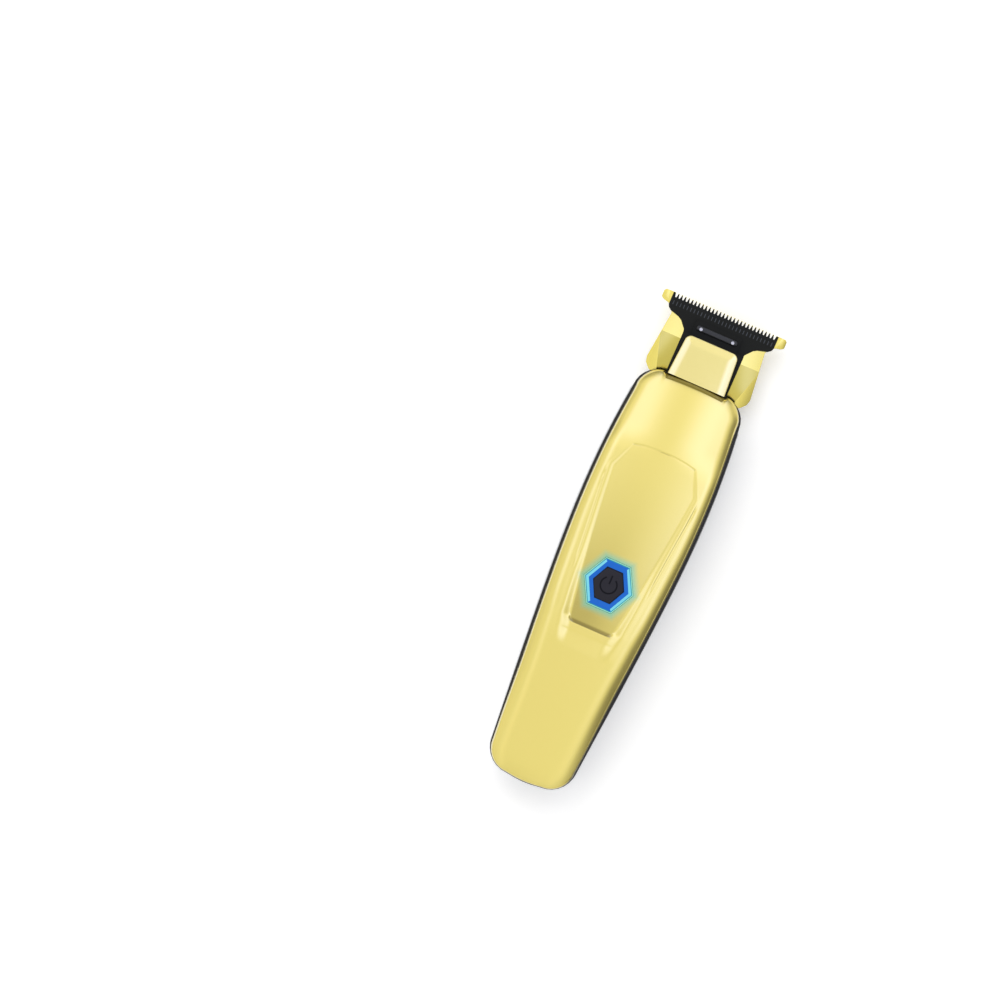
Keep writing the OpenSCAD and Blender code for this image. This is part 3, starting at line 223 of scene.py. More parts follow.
# ---------------------------------------------------------------- front casing
# Moulded ABS, plated in polished pale gold. Its rounded edge sits on the black seam band.
# The sunk thumb panel has a raised rim, and a hexagonal opening holds the light ring.
def finish(name, tone, rough, metal=0.0, coat=0.0, scale=300.0, spread=0.04, relief=0.0, rub=0.04):
    """A procedural finish: a base tone with a fine grain in its colour, gloss and relief."""
    mat = bpy.data.materials.new(name)
    mat.use_nodes = True
    n, l = mat.node_tree.nodes, mat.node_tree.links
    skin = n["Principled BSDF"]
    skin.inputs["Metallic"].default_value = metal
    skin.inputs["Coat Weight"].default_value = coat
    skin.inputs["Coat Roughness"].default_value = 0.06
    where = n.new("ShaderNodeTexCoord")
    speck = n.new("ShaderNodeTexNoise")
    speck.inputs["Scale"].default_value = scale
    speck.inputs["Detail"].default_value = 4
    l.new(where.outputs["Object"], speck.inputs["Vector"])
    mix = n.new("ShaderNodeMix")
    mix.data_type = "RGBA"
    mix.inputs[6].default_value = (*[c * (1 - spread) for c in tone], 1)
    mix.inputs[7].default_value = (*[min(1, c * (1 + spread)) for c in tone], 1)
    l.new(speck.outputs["Fac"], mix.inputs[0])
    l.new(mix.outputs[2], skin.inputs["Base Color"])
    gloss = n.new("ShaderNodeMapRange")
    gloss.inputs["To Min"].default_value = max(0.02, rough - rub)
    gloss.inputs["To Max"].default_value = rough + rub
    l.new(speck.outputs["Fac"], gloss.inputs["Value"])
    l.new(gloss.outputs["Result"], skin.inputs["Roughness"])
    if relief:
        bump = n.new("ShaderNodeBump")
        bump.inputs["Strength"].default_value = relief
        bump.inputs["Distance"].default_value = 0.0001
        l.new(speck.outputs["Fac"], bump.inputs["Height"])
        l.new(bump.outputs["Normal"], skin.inputs["Normal"])
    return mat


def put(name, bm, mat, body, replaces=(), angle=32):
    """Turns a bmesh in millimetres into a finished piece that rides on its body."""
    bmesh.ops.recalc_face_normals(bm, faces=bm.faces)
    bmesh.ops.scale(bm, vec=(0.001, 0.001, 0.001), verts=bm.verts)
    mesh = bpy.data.meshes.new(name)
    bm.to_mesh(mesh)
    bm.free()
    mesh.shade_smooth()
    mesh.set_sharp_from_angle(angle=math.radians(angle))
    piece = bpy.data.objects.new(name, mesh)
    bpy.context.collection.objects.link(piece)
    mesh.materials.append(mat)
    if body:
        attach(piece, body)
    if replaces:
        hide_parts(*replaces)
    return piece


def box_of(bm, x0, x1, y0, y1, z0, z1):
    """Adds a plain box to the bmesh."""
    middle = Vector(((x0 + x1) / 2, (y0 + y1) / 2, (z0 + z1) / 2))
    made = bmesh.ops.create_cube(bm, size=1.0)["verts"]
    bmesh.ops.scale(bm, vec=(x1 - x0, y1 - y0, z1 - z0), verts=made)
    bmesh.ops.translate(bm, vec=middle, verts=made)


def prism(bm, points, z0, z1):
    """Adds a prism over the polygon to the bmesh."""
    base = bm.faces.new([bm.verts.new((x, y, z0)) for x, y in points])
    top = bmesh.ops.extrude_face_region(bm, geom=[base])["geom"]
    verts = [v for v in top if isinstance(v, bmesh.types.BMVert)]
    bmesh.ops.translate(bm, vec=(0, 0, z1 - z0), verts=verts)


def hexagon_points(corner, flat):
    """The corners of a hexagon of that width over its corners and over its flats."""
    c, f = corner / 2, flat / 2
    return [(c, 0), (c / 2, f), (-c / 2, f), (-c, 0), (-c / 2, -f), (c / 2, -f)]


def carve(piece, bm, kind="DIFFERENCE"):
    """Cuts the tool in bm, in millimetres, out of the piece and keeps the result as its mesh."""
    bmesh.ops.recalc_face_normals(bm, faces=bm.faces)
    tool = put("tool", bm, piece.data.materials[0], None)
    step = piece.modifiers.new("carve", "BOOLEAN")
    step.operation = kind
    step.object = tool
    step.solver = "MANIFOLD"
    bpy.context.view_layer.update()
    graph = bpy.context.evaluated_depsgraph_get()
    result = bpy.data.meshes.new_from_object(piece.evaluated_get(graph))
    piece.modifiers.clear()
    old = piece.data
    name = old.name
    piece.data = result
    bpy.data.meshes.remove(old)
    result.name = name
    while len(result.materials) > 1:
        result.materials.pop()
    tool_mesh = tool.data
    bpy.data.objects.remove(tool)
    bpy.data.meshes.remove(tool_mesh)
    result.shade_smooth()
    result.set_sharp_from_angle(angle=math.radians(32))


# In millimetres: the casing's ends, its widest place, the highest place of its face, the top of its
# seam band and the middle of the button
casing_tail, casing_head = -88, 61.8
widest_y, widest_half = 17, 21.85
crown_y, crown_z = 10, 33
seam_top = 17.8
button_y = -14.1


def side_half(y):
    """Half the width of the casing over its seam."""
    y = np.asarray(y, float)
    head = widest_half - 3.3 * ((y - widest_y) / (casing_head - widest_y)) ** 2
    bend = 36
    run = math.hypot(widest_y - casing_tail, bend) - bend
    tail = widest_half - 6.9 * (np.hypot(widest_y - y, bend) - bend) / run
    return np.where(y > widest_y, head, tail)


def face_line(y):
    """Height of the front face over the middle line."""
    y = np.asarray(y, float)
    head = crown_z - 4 * ((y - crown_y) / (casing_head - crown_y)) ** 2
    tail = crown_z - 5 * ((crown_y - y) / (crown_y - casing_tail)) ** 2
    return np.where(y > crown_y, head, tail)


def ease(q):
    """A smooth step from 0 to 1."""
    q = np.clip(q, 0, 1)
    return q * q * (3 - 2 * q)


def casing_grid(inset, top, close, columns, rows):
    """Maps a flat grid on the casing's outline: x, y and the distance from the outline, for every point."""
    tail_r, head_r, bulge = 9.5 - inset, 8.5 - inset, 0.6
    tail_y, head_y = casing_tail + inset + bulge + tail_r, top - inset - bulge - head_r
    lines = [(y, 0, 0) for y in sorted(set([tail_y, head_y] + [v for v in rows if tail_y < v < head_y]))]
    ends = []
    for y, end, r in ((tail_y, -1, tail_r), (head_y, 1, head_r)):
        near = [(y, end, 1 - d / r) for d in close]
        ends.append(near + [(y, end, t) for t in np.arange(0.08, 1 - close[-1] / r - 0.03, 0.08)])
    lines = sorted(ends[0], key=lambda v: -v[2]) + lines + sorted(ends[1], key=lambda v: v[2])
    xs, ys, ds = [], [], []
    for y, end, t in lines:
        o = float(side_half(y)) - inset
        x0 = np.concatenate([columns(y, o), o - close[::-1][1:]])
        if end == 0:
            x, yy, d = x0, np.full(len(x0), y), o - x0
        else:
            r = tail_r if end < 0 else head_r
            xc = o - r
            s = np.clip((x0 - xc) / r, 0, 1)
            inner = x0 <= xc
            x = np.where(inner, x0, xc + r * s * np.sqrt(1 - t * t / 2))
            fall = np.where(inner, r * t + bulge * t * (1 - (x0 / xc) ** 2), r * t * np.sqrt(1 - s * s / 2))
            yy = y + end * fall
            out = np.hypot(s * math.sqrt(1 - t * t / 2), t * np.sqrt(1 - s * s / 2))
            d = np.where(inner, r * (1 - t), r * (1 - out))
        xs.append(np.concatenate([-x[:0:-1], x]))
        ys.append(np.concatenate([yy[:0:-1], yy]))
        ds.append(np.concatenate([d[:0:-1], d]))
    return np.array(xs), np.array(ys), np.clip(np.array(ds), 0, None)


def sheet(x, y, z, wall):
    """A closed shell of that wall thickness under the mapped grid."""
    bm = bmesh.new()
    rows, cols = x.shape
    bmesh.ops.create_grid(bm, x_segments=cols - 1, y_segments=rows - 1, size=1.0)
    bm.verts.ensure_lookup_table()
    for v in bm.verts:
        c = round((v.co.x + 1) / 2 * (cols - 1))
        r = round((v.co.y + 1) / 2 * (rows - 1))
        v.co = (x[r, c], y[r, c], z[r, c])
    bmesh.ops.recalc_face_normals(bm, faces=bm.faces)
    bmesh.ops.solidify(bm, geom=bm.faces[:], thickness=wall)
    return bm


# The thumb panel's walls: half widths at their foot and at their top, at places along the casing
knots = [-88, -70, -50, -38.5, -35, -31.5, -29.4, -26, -22, -14, -5, 5, 15, 24.3, 29.2, 33.6, 35.6, 61]
wall_foot = [5, 5, 5.8, 5.9, 6.1, 6.6, 7.5, 8.6, 9.25, 10.35, 11.2, 12.4, 13.5, 14.4, 12.4, 10.9, 10.3, 9.5]
wall_top = [7, 7, 8.5, 9.6, 10.4, 10.9, 11.3, 11.5, 12, 12.8, 13.5, 14.4, 15.4, 16.1, 14, 11.9, 11, 10.2]
gold_edge = 4.3


def gold_columns(y, o):
    """Half widths of the grid's columns at a row: they follow the lines of the panel."""
    a, b = (float(np.interp(y, knots, v)) for v in (wall_foot, wall_top))
    e = o - gold_edge
    g = min(b + 1.6, e - 0.2)
    parts = [(0, a - 2, 6), (a - 2, a, 5), (a, b, 12), (b, g, 9), (g, e, 6)]
    return np.concatenate([np.linspace(p, q, n, endpoint=False) for p, q, n in parts] + [[e]])


def gold_relief(x, y):
    """Height of the thumb panel over the plain face."""
    ax = np.abs(x)
    a, b = (np.interp(y, knots, v) for v in (wall_foot, wall_top))
    bed = np.interp(
        y, [-29.4, -28, -26, -22, -14, -5, 5, 15, 25, 30, 34.5],
        [-0.76, -0.62, -0.47, -0.41, -0.33, -0.25, -0.21, -0.19, -0.16, -0.12, -0.06])
    shelf = np.interp(y, [-38.8, -35, -33.2, -32.6, -30.2], [0, -0.33, -0.45, -0.4, -0.42])
    crest = np.interp(y, [-39.2, -37, -31, -20, -8, 0], [0, 0.06, 0.08, 0.08, 0.03, 0])
    lip = -29.85 + 1.9 * (1 - np.sqrt(1 - np.clip((ax - 5.9) / 2.1, 0, 1) ** 2))
    bed = bed + (shelf - bed) * ease((lip - y) / (0.85 + 0.8 * ease((ax - 6.9) / 1.5)))
    end = 34.8 - 0.01 * x * x
    bed = bed * (1 - ease((y - end) / 0.4)) - 0.13 * np.exp(-((y - end + 0.1) / 0.18) ** 2) * (ax < 12)
    bed = bed * ease((y + 39.2) / 0.4)
    rise = ease((ax - a) / (b - a))
    shape = bed * (1 - rise) + crest * (rise - ease((ax - b) / 2.4))
    beside = ease((y + 14) / 8) * (1 - ease((y - 18) / 9))
    return shape - 0.11 * np.exp(-((ax - b - 0.75) / 0.22) ** 2) * beside


# The rounding of the edge: its slope, from the seam inwards, summed up to the height that it takes off
edge_places = np.array([0, 0.27, 0.4, 0.5, 0.6, 0.7, 0.8, 1.0, 1.15, 1.3, 1.5])
edge_slopes = np.tan(np.radians([40, 35, 32, 29, 25, 20, 15.5, 7.8, 5.5, 2.5, 0]))
fine = np.linspace(0, 1.5, 301)
falls = np.cumsum(np.interp(fine, edge_places, edge_slopes)[::-1])[::-1] * (fine[1] - fine[0])


gold = finish("pale_gold_plating", (0.88, 0.74, 0.22), 0.18, metal=1.0, scale=900, spread=0.015, rub=0.02)
n, l = gold.node_tree.nodes, gold.node_tree.links


def gold_sum(kind, a, b):
    """One arithmetic node of the plating, fed by sockets or numbers."""
    node = n.new("ShaderNodeMath")
    node.operation = kind
    for socket, value in zip(node.inputs, (a, b)):
        if isinstance(value, (int, float)):
            socket.default_value = value
        else:
            l.new(value, socket)
    return node.outputs[0]


def gold_share(value, low, high, kind="SMOOTHSTEP"):
    """A step of the value from 0 at low to 1 at high."""
    step = n.new("ShaderNodeMapRange")
    step.interpolation_type = kind
    step.inputs["From Min"].default_value = low
    step.inputs["From Max"].default_value = high
    l.new(value, step.inputs["Value"])
    return step.outputs["Result"]


# These tones are painted on, and stay whatever the light: painted shade darkens the panel's deep end and
# the line over its lip, and a painted blue-green glow of the ring's light lies on the gold round it
place = n.new("ShaderNodeSeparateXYZ")
l.new(n["Texture Coordinate"].outputs["Object"], place.inputs[0])
wide = gold_sum("ABSOLUTE", place.outputs[0], 0)
deep = gold_share(place.outputs[1], 0.036, -0.024, "LINEAR")
walls = gold_share(gold_sum("SUBTRACT", wide, gold_sum("MULTIPLY", place.outputs[1], 0.16)), 0.0129, 0.0119)
lip = gold_share(place.outputs[1], -0.0306, -0.0299)
painted_panel_shade = gold_sum("MULTIPLY", gold_sum("MULTIPLY", gold_sum("MULTIPLY", deep, deep), walls), lip)
right_side = gold_sum("MULTIPLY", gold_share(place.outputs[0], -0.004, 0.009), 0.5)
painted_panel_shade = gold_sum("MULTIPLY", painted_panel_shade, gold_sum("SUBTRACT", 1.0, right_side))
crease_rear = gold_share(place.outputs[1], -0.0307, -0.0301)
crease_front = gold_share(place.outputs[1], -0.0287, -0.0297)
painted_lip_shade = gold_sum("MULTIPLY", crease_rear, crease_front)
painted_lip_shade = gold_sum("MULTIPLY", painted_lip_shade, gold_share(wide, 0.0084, 0.0066))
off = gold_sum("ABSOLUTE", gold_sum("ADD", place.outputs[1], -button_y / 1000), 0)
slant = gold_sum("ADD", gold_sum("MULTIPLY", wide, 0.884), gold_sum("MULTIPLY", off, 0.467))
far = gold_sum("MAXIMUM", gold_sum("SUBTRACT", off, 0.00857), gold_sum("SUBTRACT", slant, 0.00802))
painted_ring_glow = gold_share(far, 0.0029, -0.0004)
tone = n["Principled BSDF"].inputs["Base Color"].links[0].from_socket
for share, strength, colour in (
    (painted_panel_shade, 0.5, (0.25, 0.2, 0.05, 1)),
    (painted_lip_shade, 0.6, (0.15, 0.11, 0.03, 1)),
    (painted_ring_glow, 0.8, (0.2, 0.62, 0.45, 1)),
):
    blend = n.new("ShaderNodeMix")
    blend.data_type = "RGBA"
    blend.inputs[7].default_value = colour
    l.new(gold_sum("MULTIPLY", share, strength), blend.inputs[0])
    l.new(tone, blend.inputs[6])
    tone = blend.outputs[2]
l.new(tone, n["Principled BSDF"].inputs["Base Color"])
rows = np.concatenate([
    np.arange(-77, -40, 1.5), np.arange(-39.6, -36.4, 0.4), np.arange(-36, -33.8, 0.5), np.arange(-33.6, -31, 0.3),
    np.arange(-30.8, -28.6, 0.12), np.arange(-28.4, -25, 0.5), np.arange(-24.4, 22, 1.2), np.arange(22, 28, 0.6),
    np.arange(28, 32, 0.9), np.arange(32.7, 35.8, 0.15), np.arange(36.4, 53, 1.3),
])
close = np.array([0, 0.02, 0.06, 0.12, 0.2, 0.3, 0.42, 0.55, 0.7, 0.85, 1.05, 1.35, 1.7, 2.1, 2.6, 3.1, 3.7, gold_edge])
gx, gy, gd = casing_grid(0.9, casing_head, close, gold_columns, rows)
ax = np.abs(gx)
head = ease((gy - 30) / 11)
crown = (0.0008 + 0.0012 * ease((gy + 30) / 30)) * gx ** 2 + head * 0.1 * np.where(ax < 13, ax ** 2 / 26, ax - 6.5)
turn_in = np.interp(gy, [-60, -45, -31, -22, -5, 5, 15], [4.6, 4.4, 4.1, 3.5, 3.1, 2.8, 2.7])
soft = np.interp(gy, [-76, -60, -45], [0.55, 0.8, 1.0])
plain = seam_top + (face_line(gy) - seam_top) * 0.985 - crown - soft * turn_in * np.interp(gd / turn_in, fine, falls)
foot_run = 0.85 + 1.7 * ease((gy - 57) / 3) * (1 - ease((ax - 10.3) / 1.8))
steep = np.clip(1 - gd / foot_run, 0, 1) ** 2.6
gz = plain - (plain - seam_top) * steep + gold_relief(gx, gy) * ease(gd / 3)
# The seam band shows less at both ends
gx = gx * (1 + (0.5 * ease((-45 - gy) / 30) + 0.25 * ease((gy - 50) / 6)) / side_half(gy))
beside_neck = ease((gy - 54) / 6) * ease((np.abs(gx) - 10.4) / 1.6)
gy = gy - 0.5 * ease((-72 - gy) / 15) + 0.6 * ease((gy - 57) / 4) + 0.35 * beside_neck
front = put("front_casing", sheet(gx, gy, gz, 1.5), gold, "casing", ["front_shell"])
bm = bmesh.new()
prism(bm, [(x, y + button_y) for x, y in hexagon_points(18.34, 17.34)], 25, 36)
carve(front, bm)
bm = bmesh.new()
box_of(bm, -11.5, 11.5, 56.8, 64, 10, 21.3)
carve(front, bm)
# The end wall over the neck cover is toned olive: a painted shade
shaded = finish("painted_shade_gold_edge", (0.22, 0.165, 0.012), 0.4, scale=900, spread=0.05)
front.data.materials.append(shaded)
for face in front.data.polygons:
    if face.center.y > 0.0585 and face.normal.y > 0.4 and abs(face.center.x) < 0.0108 and face.center.z > 0.0212:
        face.material_index = 1

# ---------------------------------------------------------------- rear casing
# Moulded ABS, plated satin silver. It carries the recesses of the casing's screws.
# The charging insert shows in the opening at its tail.
silver = finish("satin_silver_plating", (0.62, 0.63, 0.64), 0.3, metal=1.0, scale=900, spread=0.02, rub=0.03)
silver_edge = 5.5


def silver_columns(y, o):
    """Half widths of the grid's columns at a row."""
    return np.concatenate([np.linspace(0, o - silver_edge, 14, endpoint=False), [o - silver_edge]])


def back_line(y):
    """Height of the back over the middle line."""
    y = np.asarray(y, float)
    head = 4.6 * ((y - 34.8) / 27) ** 2
    tail = 2.6 * ((-70 - y) / 18) ** 2
    return np.where(y > 34.8, head, np.where(y < -70, tail, 0))


seam_low = 16.2
close = silver_edge * (1 - np.cos(np.linspace(0, math.pi / 2, 13)) ** (2 / 3))
sx, sy, sd = casing_grid(0, 59.4, close, silver_columns, np.arange(-77, 52, 3.0))
q = np.clip(sd / silver_edge, 0, 1)
share = (1 - (1 - q) ** 3) ** (1 / 3)
sx = sx * (1 + np.sin(math.pi * np.clip(share, 0, 1)) ** 2 * 0.65 / widest_half)
sz = seam_low - (seam_low - back_line(sy)) * share
rear = put("rear_casing", sheet(sx, sy, sz, 1.3), silver, "casing", ["rear_shell"])
bm = bmesh.new()
box_of(bm, -11.5, 11.5, 49.4, 62, 10.1, 18)
box_of(bm, -8.05, 8.05, -90, -83, 7.55, 15.25)
carve(rear, bm)
bm = bmesh.new()
for x, y, z in ((13.9, 54.6, 6.4), (-13.9, 54.6, 6.4), (10.2, -77, 4.4), (-10.2, -77, 4.4)):
    made = bmesh.ops.create_cone(bm, segments=40, radius1=1.9, radius2=1.9, depth=z + 1, cap_ends=True)["verts"]
    bmesh.ops.translate(bm, vec=(x, y, (z - 1) / 2), verts=made)
carve(rear, bm)

# ---------------------------------------------------------------- fixed blade
# Stamped steel, gold coated: a toothed bar with two end tips and two wings that run back under the
# casing. Its facets are ground, and the wings' inner ones take a darker copy of its gold.
# Two screws from below hold it on the head's frame.
blade_gold = finish("gold_coated_steel", (0.91, 0.765, 0.18), 0.18, metal=1.0, coat=0.1, scale=700, spread=0.03)
facet_gold = finish("darker_gold_facet", (0.63, 0.53, 0.115), 0.12, metal=1.0, scale=700, spread=0.03)
half = [(0, 88), (22.35, 88), (23.05, 87.3), (23.05, 85), (22.25, 84.4), (19.15, 83.6), (17.6, 81),
        (19.5, 63.9), (19.0, 61.9), (17.2, 60), (15.2, 59.4)]
loop = half + [(-x, y) for x, y in half[:0:-1]]
bm = bmesh.new()
prism(bm, loop, 5, 12)
fixed = put("fixed_blade_plate", bm, blade_gold, "casing", ["fixed_blade"])
bm = bmesh.new()
profile = [(88, 11), (74.1, 11), (59.4, 11.3), (59.4, 9.6), (74.1, 9.4), (78.5, 8.4), (83.5, 8.4), (88, 10.5)]
wire = [bm.verts.new((-30, y, z)) for y, z in profile]
extruded = bmesh.ops.extrude_face_region(bm, geom=[bm.faces.new(wire)])["geom"]
bmesh.ops.translate(bm, vec=(60, 0, 0), verts=[v for v in extruded if isinstance(v, bmesh.types.BMVert)])
carve(fixed, bm, "INTERSECT")
bm = bmesh.new()
bm.from_mesh(fixed.data)
bmesh.ops.scale(bm, vec=(1000, 1000, 1000), verts=bm.verts)
for side in (-1, 1):
    cut = bmesh.ops.bisect_plane(
        bm, geom=bm.verts[:] + bm.edges[:] + bm.faces[:], dist=1e-5,
        plane_co=(side * 18.75, 74.5, 11.0), plane_no=(side * 0.16, -0.0278, 1), clear_outer=True)
    rim = [e for e in cut["geom_cut"] if isinstance(e, bmesh.types.BMEdge)]
    bmesh.ops.holes_fill(bm, edges=rim, sides=0)
bmesh.ops.dissolve_limit(bm, angle_limit=0.01, verts=bm.verts, edges=bm.edges)
sharp = [e for e in bm.edges if e.is_manifold and e.calc_face_angle(0) > 0.15]
bmesh.ops.bevel(bm, geom=sharp, offset=0.14, segments=2, profile=0.5, affect="EDGES", material=-1, clamp_overlap=True)
bmesh.ops.scale(bm, vec=(0.001, 0.001, 0.001), verts=bm.verts)
bmesh.ops.recalc_face_normals(bm, faces=bm.faces)
bm.to_mesh(fixed.data)
bm.free()
bm = bmesh.new()
blade_w, teeth = 39.5, 30
pitch = blade_w / teeth
gap_places = [(i - teeth / 2) * pitch for i in range(1, teeth)]
for x in gap_places:
    prism(bm, [(x - 0.25, 85.4), (x + 0.25, 85.4), (x + 0.52, 89), (x - 0.52, 89)], 5, 13)
# A shallow recess, in which the moving blade's stem slides
box_of(bm, -9, 9, 59, 73.9, 10.98, 13)
carve(fixed, bm)
fixed.data.materials.append(facet_gold)
for face in fixed.data.polygons:
    if face.normal.z > 0.5 and face.center.y < 0.0741 and abs(face.normal.x) < 0.1:
        face.material_index = 1

# ---------------------------------------------------------------- moving blade
# Ground steel, coated black, with thirty pointed teeth and a row of short grooves behind them,
# whose floors carry a painted highlight.
# It slides on the fixed blade with its guide.
black_steel = finish("black_coated_steel", (0.0085, 0.0092, 0.0065), 0.42, scale=800, spread=0.1)
black_steel.node_tree.nodes["Principled BSDF"].inputs["Specular IOR Level"].default_value = 0.14
# A lighter tone for the grooves' floors: a painted highlight
groove_highlight = finish("painted_highlight_groove", (0.065, 0.07, 0.07), 0.4, metal=0.6, scale=800, spread=0.2)
tip_y, root_y = 87.85, 86.35
front_line = [(-blade_w / 2, tip_y)]
for x in gap_places:
    front_line += [(x - 0.5265, tip_y), (x - 0.1765, root_y), (x + 0.1765, root_y), (x + 0.5265, tip_y)]
front_line += [(blade_w / 2, tip_y)]
side = [(blade_w / 2, 83.4), (19.3, 82.4), (18.25, 81.6), (14.8, 80.6), (13.5, 79.8), (12.4, 78.5), (11.45, 77.4),
        (11.25, 76.3), (7, 76.3), (7, 68)]
loop = front_line + side + [(-x, y) for x, y in side[::-1]]
bm = bmesh.new()
prism(bm, loop, 11.05, 12.45)
bmesh.ops.recalc_face_normals(bm, faces=bm.faces)
cut = bmesh.ops.bisect_plane(
    bm, geom=bm.verts[:] + bm.edges[:] + bm.faces[:], dist=1e-5,
    plane_co=(0, 86.1, 12.45), plane_no=(0, 0.4, 1), clear_outer=True)
bmesh.ops.holes_fill(bm, edges=[e for e in cut["geom_cut"] if isinstance(e, bmesh.types.BMEdge)], sides=0)
bmesh.ops.triangulate(bm, faces=bm.faces[:])
cutter = put("moving_blade", bm, black_steel, "cutter", ["cutter_blade"])
bm = bmesh.new()
for x in gap_places:
    box_of(bm, x - 0.17, x + 0.17, 83.7, 85.2, 12.2, 13)
carve(cutter, bm)
# The floors of the grooves take the painted highlight
cutter.data.materials.append(groove_highlight)
for face in cutter.data.polygons:
    if face.normal.z > 0.9 and 0.0836 < face.center.y < 0.0853 and face.center.z < 0.0123:
        face.material_index = 1

# ---------------------------------------------------------------- cutter guide
# Moulded nylon, riveted on the moving blade. Its raised bar is stiff, and holds the two rivets.
# The fork at its rear takes the crank pin.
nylon = finish("black_nylon", (0.008, 0.0085, 0.0065), 0.5, scale=500, spread=0.12, relief=0.1)
nylon.node_tree.nodes["Principled BSDF"].inputs["Specular IOR Level"].default_value = 0.15
# The raised bar takes a lighter copy of the black nylon: a painted light on its top
bar_light_nylon = finish("guide_bar_painted_light", (0.021, 0.0225, 0.0225), 0.45, scale=500, spread=0.12, relief=0.1)
bm = bmesh.new()
box_of(bm, -8.55, 8.55, 76.3, 82.2, 12.45, 13.4)
box_of(bm, -5.2, 5.2, 66.5, 76.3, 12.45, 18.3)
guide = put("guide_block", bm, nylon, "cutter", ["cutter_guide"])
bm = bmesh.new()
box_of(bm, -1.35, 1.35, 65.5, 72.5, 12, 19)
carve(guide, bm)
bm = bmesh.new()
bar_y, bar_r = 79.6, 0.9
bar = []
for i in range(13):
    a = math.radians(-90 + 15 * i)
    bar.append((6.7 + bar_r * math.cos(a), bar_y + bar_r * math.sin(a)))
prism(bm, bar + [(-x, 2 * bar_y - y) for x, y in bar], 13.4, 14.3)
bmesh.ops.recalc_face_normals(bm, faces=bm.faces)
top = [e for e in bm.edges if all(v.co.z > 14 for v in e.verts)]
bmesh.ops.bevel(bm, geom=top, offset=0.35, segments=4, profile=0.5, affect="EDGES", material=-1)
stiff = put("guide_bar", bm, bar_light_nylon, "cutter", ["cutter_guide"])
bm = bmesh.new()
for x in (-5.95, 5.95):
    # A hole for the rivet's head
    made = bmesh.ops.create_cone(bm, segments=32, radius1=0.58, radius2=0.58, depth=3, cap_ends=True)["verts"]
    bmesh.ops.translate(bm, vec=(x, 79.5, 14), verts=made)
carve(stiff, bm)

# ---------------------------------------------------------------- head frame and its cover
# The frame is black nylon, and screws on the chassis. The cover over it is a moulded pillow shape,
# plated like the front casing, and its rear edge meets the casing's end wall.
frame_cover = finish(
    "polished_pale_gold", (0.9, 0.78, 0.3), 0.14, metal=1.0, coat=0.5, scale=900, spread=0.015, rub=0.02)
bm = bmesh.new()
loops = []
for inset, z in (
    (0, 21), (0, 23.9), (0.1, 24.2), (0.3, 24.38), (0.9, 24.48), (1.5, 24.57), (2.1, 24.65), (2.5, 24.69),
    (3.2, 24.72),
):
    loop = []
    for cx, a0 in ((7.45, 0), (-7.45, 90)):
        for i in range(9):
            a = math.radians(a0 + 11.25 * i)
            r, back = max(2.2 - inset, 0.25), max(inset - 1.95, 0)
            loop.append((cx - math.copysign(back, cx) + r * math.cos(a), 73.4 - back + r * math.sin(a), z))
    loop += [(-10.5 + inset, 60.7, z), (10.5 - inset, 60.7, z)]
    loops.append([bm.verts.new(v) for v in loop])
for lower, upper in zip(loops, loops[1:]):
    for i in range(20):
        j = (i + 1) % 20
        bm.faces.new((lower[i], lower[j], upper[j], upper[i]))
bm.faces.new(loops[0])
bm.faces.new(loops[-1])
put("neck_cover_cap", bm, frame_cover, "casing", ["neck_cover"])

# ---------------------------------------------------------------- light ring
# A translucent blue polycarbonate ring round the button, moulded in one with the flange under it
# and with its light from the board below. Its body glows an even blue; the cyan on four of its slanted
# sides is a painted highlight, and its groove glows teal and its outer rim aqua.
ring_mats = []
for name, tone, shine, level in (
    ("blue_light_guide", (0.006, 0.075, 0.36), (0.01, 0.105, 0.4), 0.6),
    ("cyan_painted_highlight", (0.11, 0.36, 0.45), (0.14, 0.46, 0.52), 0.7),
    ("teal_light_gap", (0.02, 0.18, 0.24), (0.03, 0.24, 0.3), 0.6),
    ("aqua_light_rim", (0.2, 0.45, 0.35), (0.2, 0.45, 0.33), 0.7),
):
    ring_mats.append(finish(name, tone, 0.4, scale=500, spread=0.1))
    glow = ring_mats[-1].node_tree.nodes["Principled BSDF"]
    glow.inputs["Specular IOR Level"].default_value = 0.15
    glow.inputs["Emission Color"].default_value = (*shine, 1)
    glow.inputs["Emission Strength"].default_value = level
bm = bmesh.new()
rings = []
for corner, flat, z in (
    (11.6, 11.6, 30.2), (11.6, 11.6, 32.0), (14.7, 14.5, 32.2), (16.8, 15.9, 32.05), (17.0, 16.1, 31.93),
    (17.2, 16.3, 31.93), (17.4, 16.5, 32.05), (18.1, 17.1, 32.1), (18.15, 17.15, 30.2),
):
    rings.append([bm.verts.new((x, y + button_y, z)) for x, y in hexagon_points(corner, flat)])
paints = [0, 0, 1, 2, 2, 2, 3, 3, 0]
for lower, upper, paint in zip(rings, rings[1:] + rings[:1], paints):
    for i in range(6):
        j = (i + 1) % 6
        face = bm.faces.new((lower[i], lower[j], upper[j], upper[i]))
        # The cyan painted highlight lies on four of the six slanted sides; the other two stay plain blue
        face.material_index = 0 if paint == 1 and i in (1, 4) else paint
ring_piece = put("light_ring_lens", bm, ring_mats[0], "casing", ["light_ring"], angle=12)
for mat in ring_mats[1:]:
    ring_piece.data.materials.append(mat)

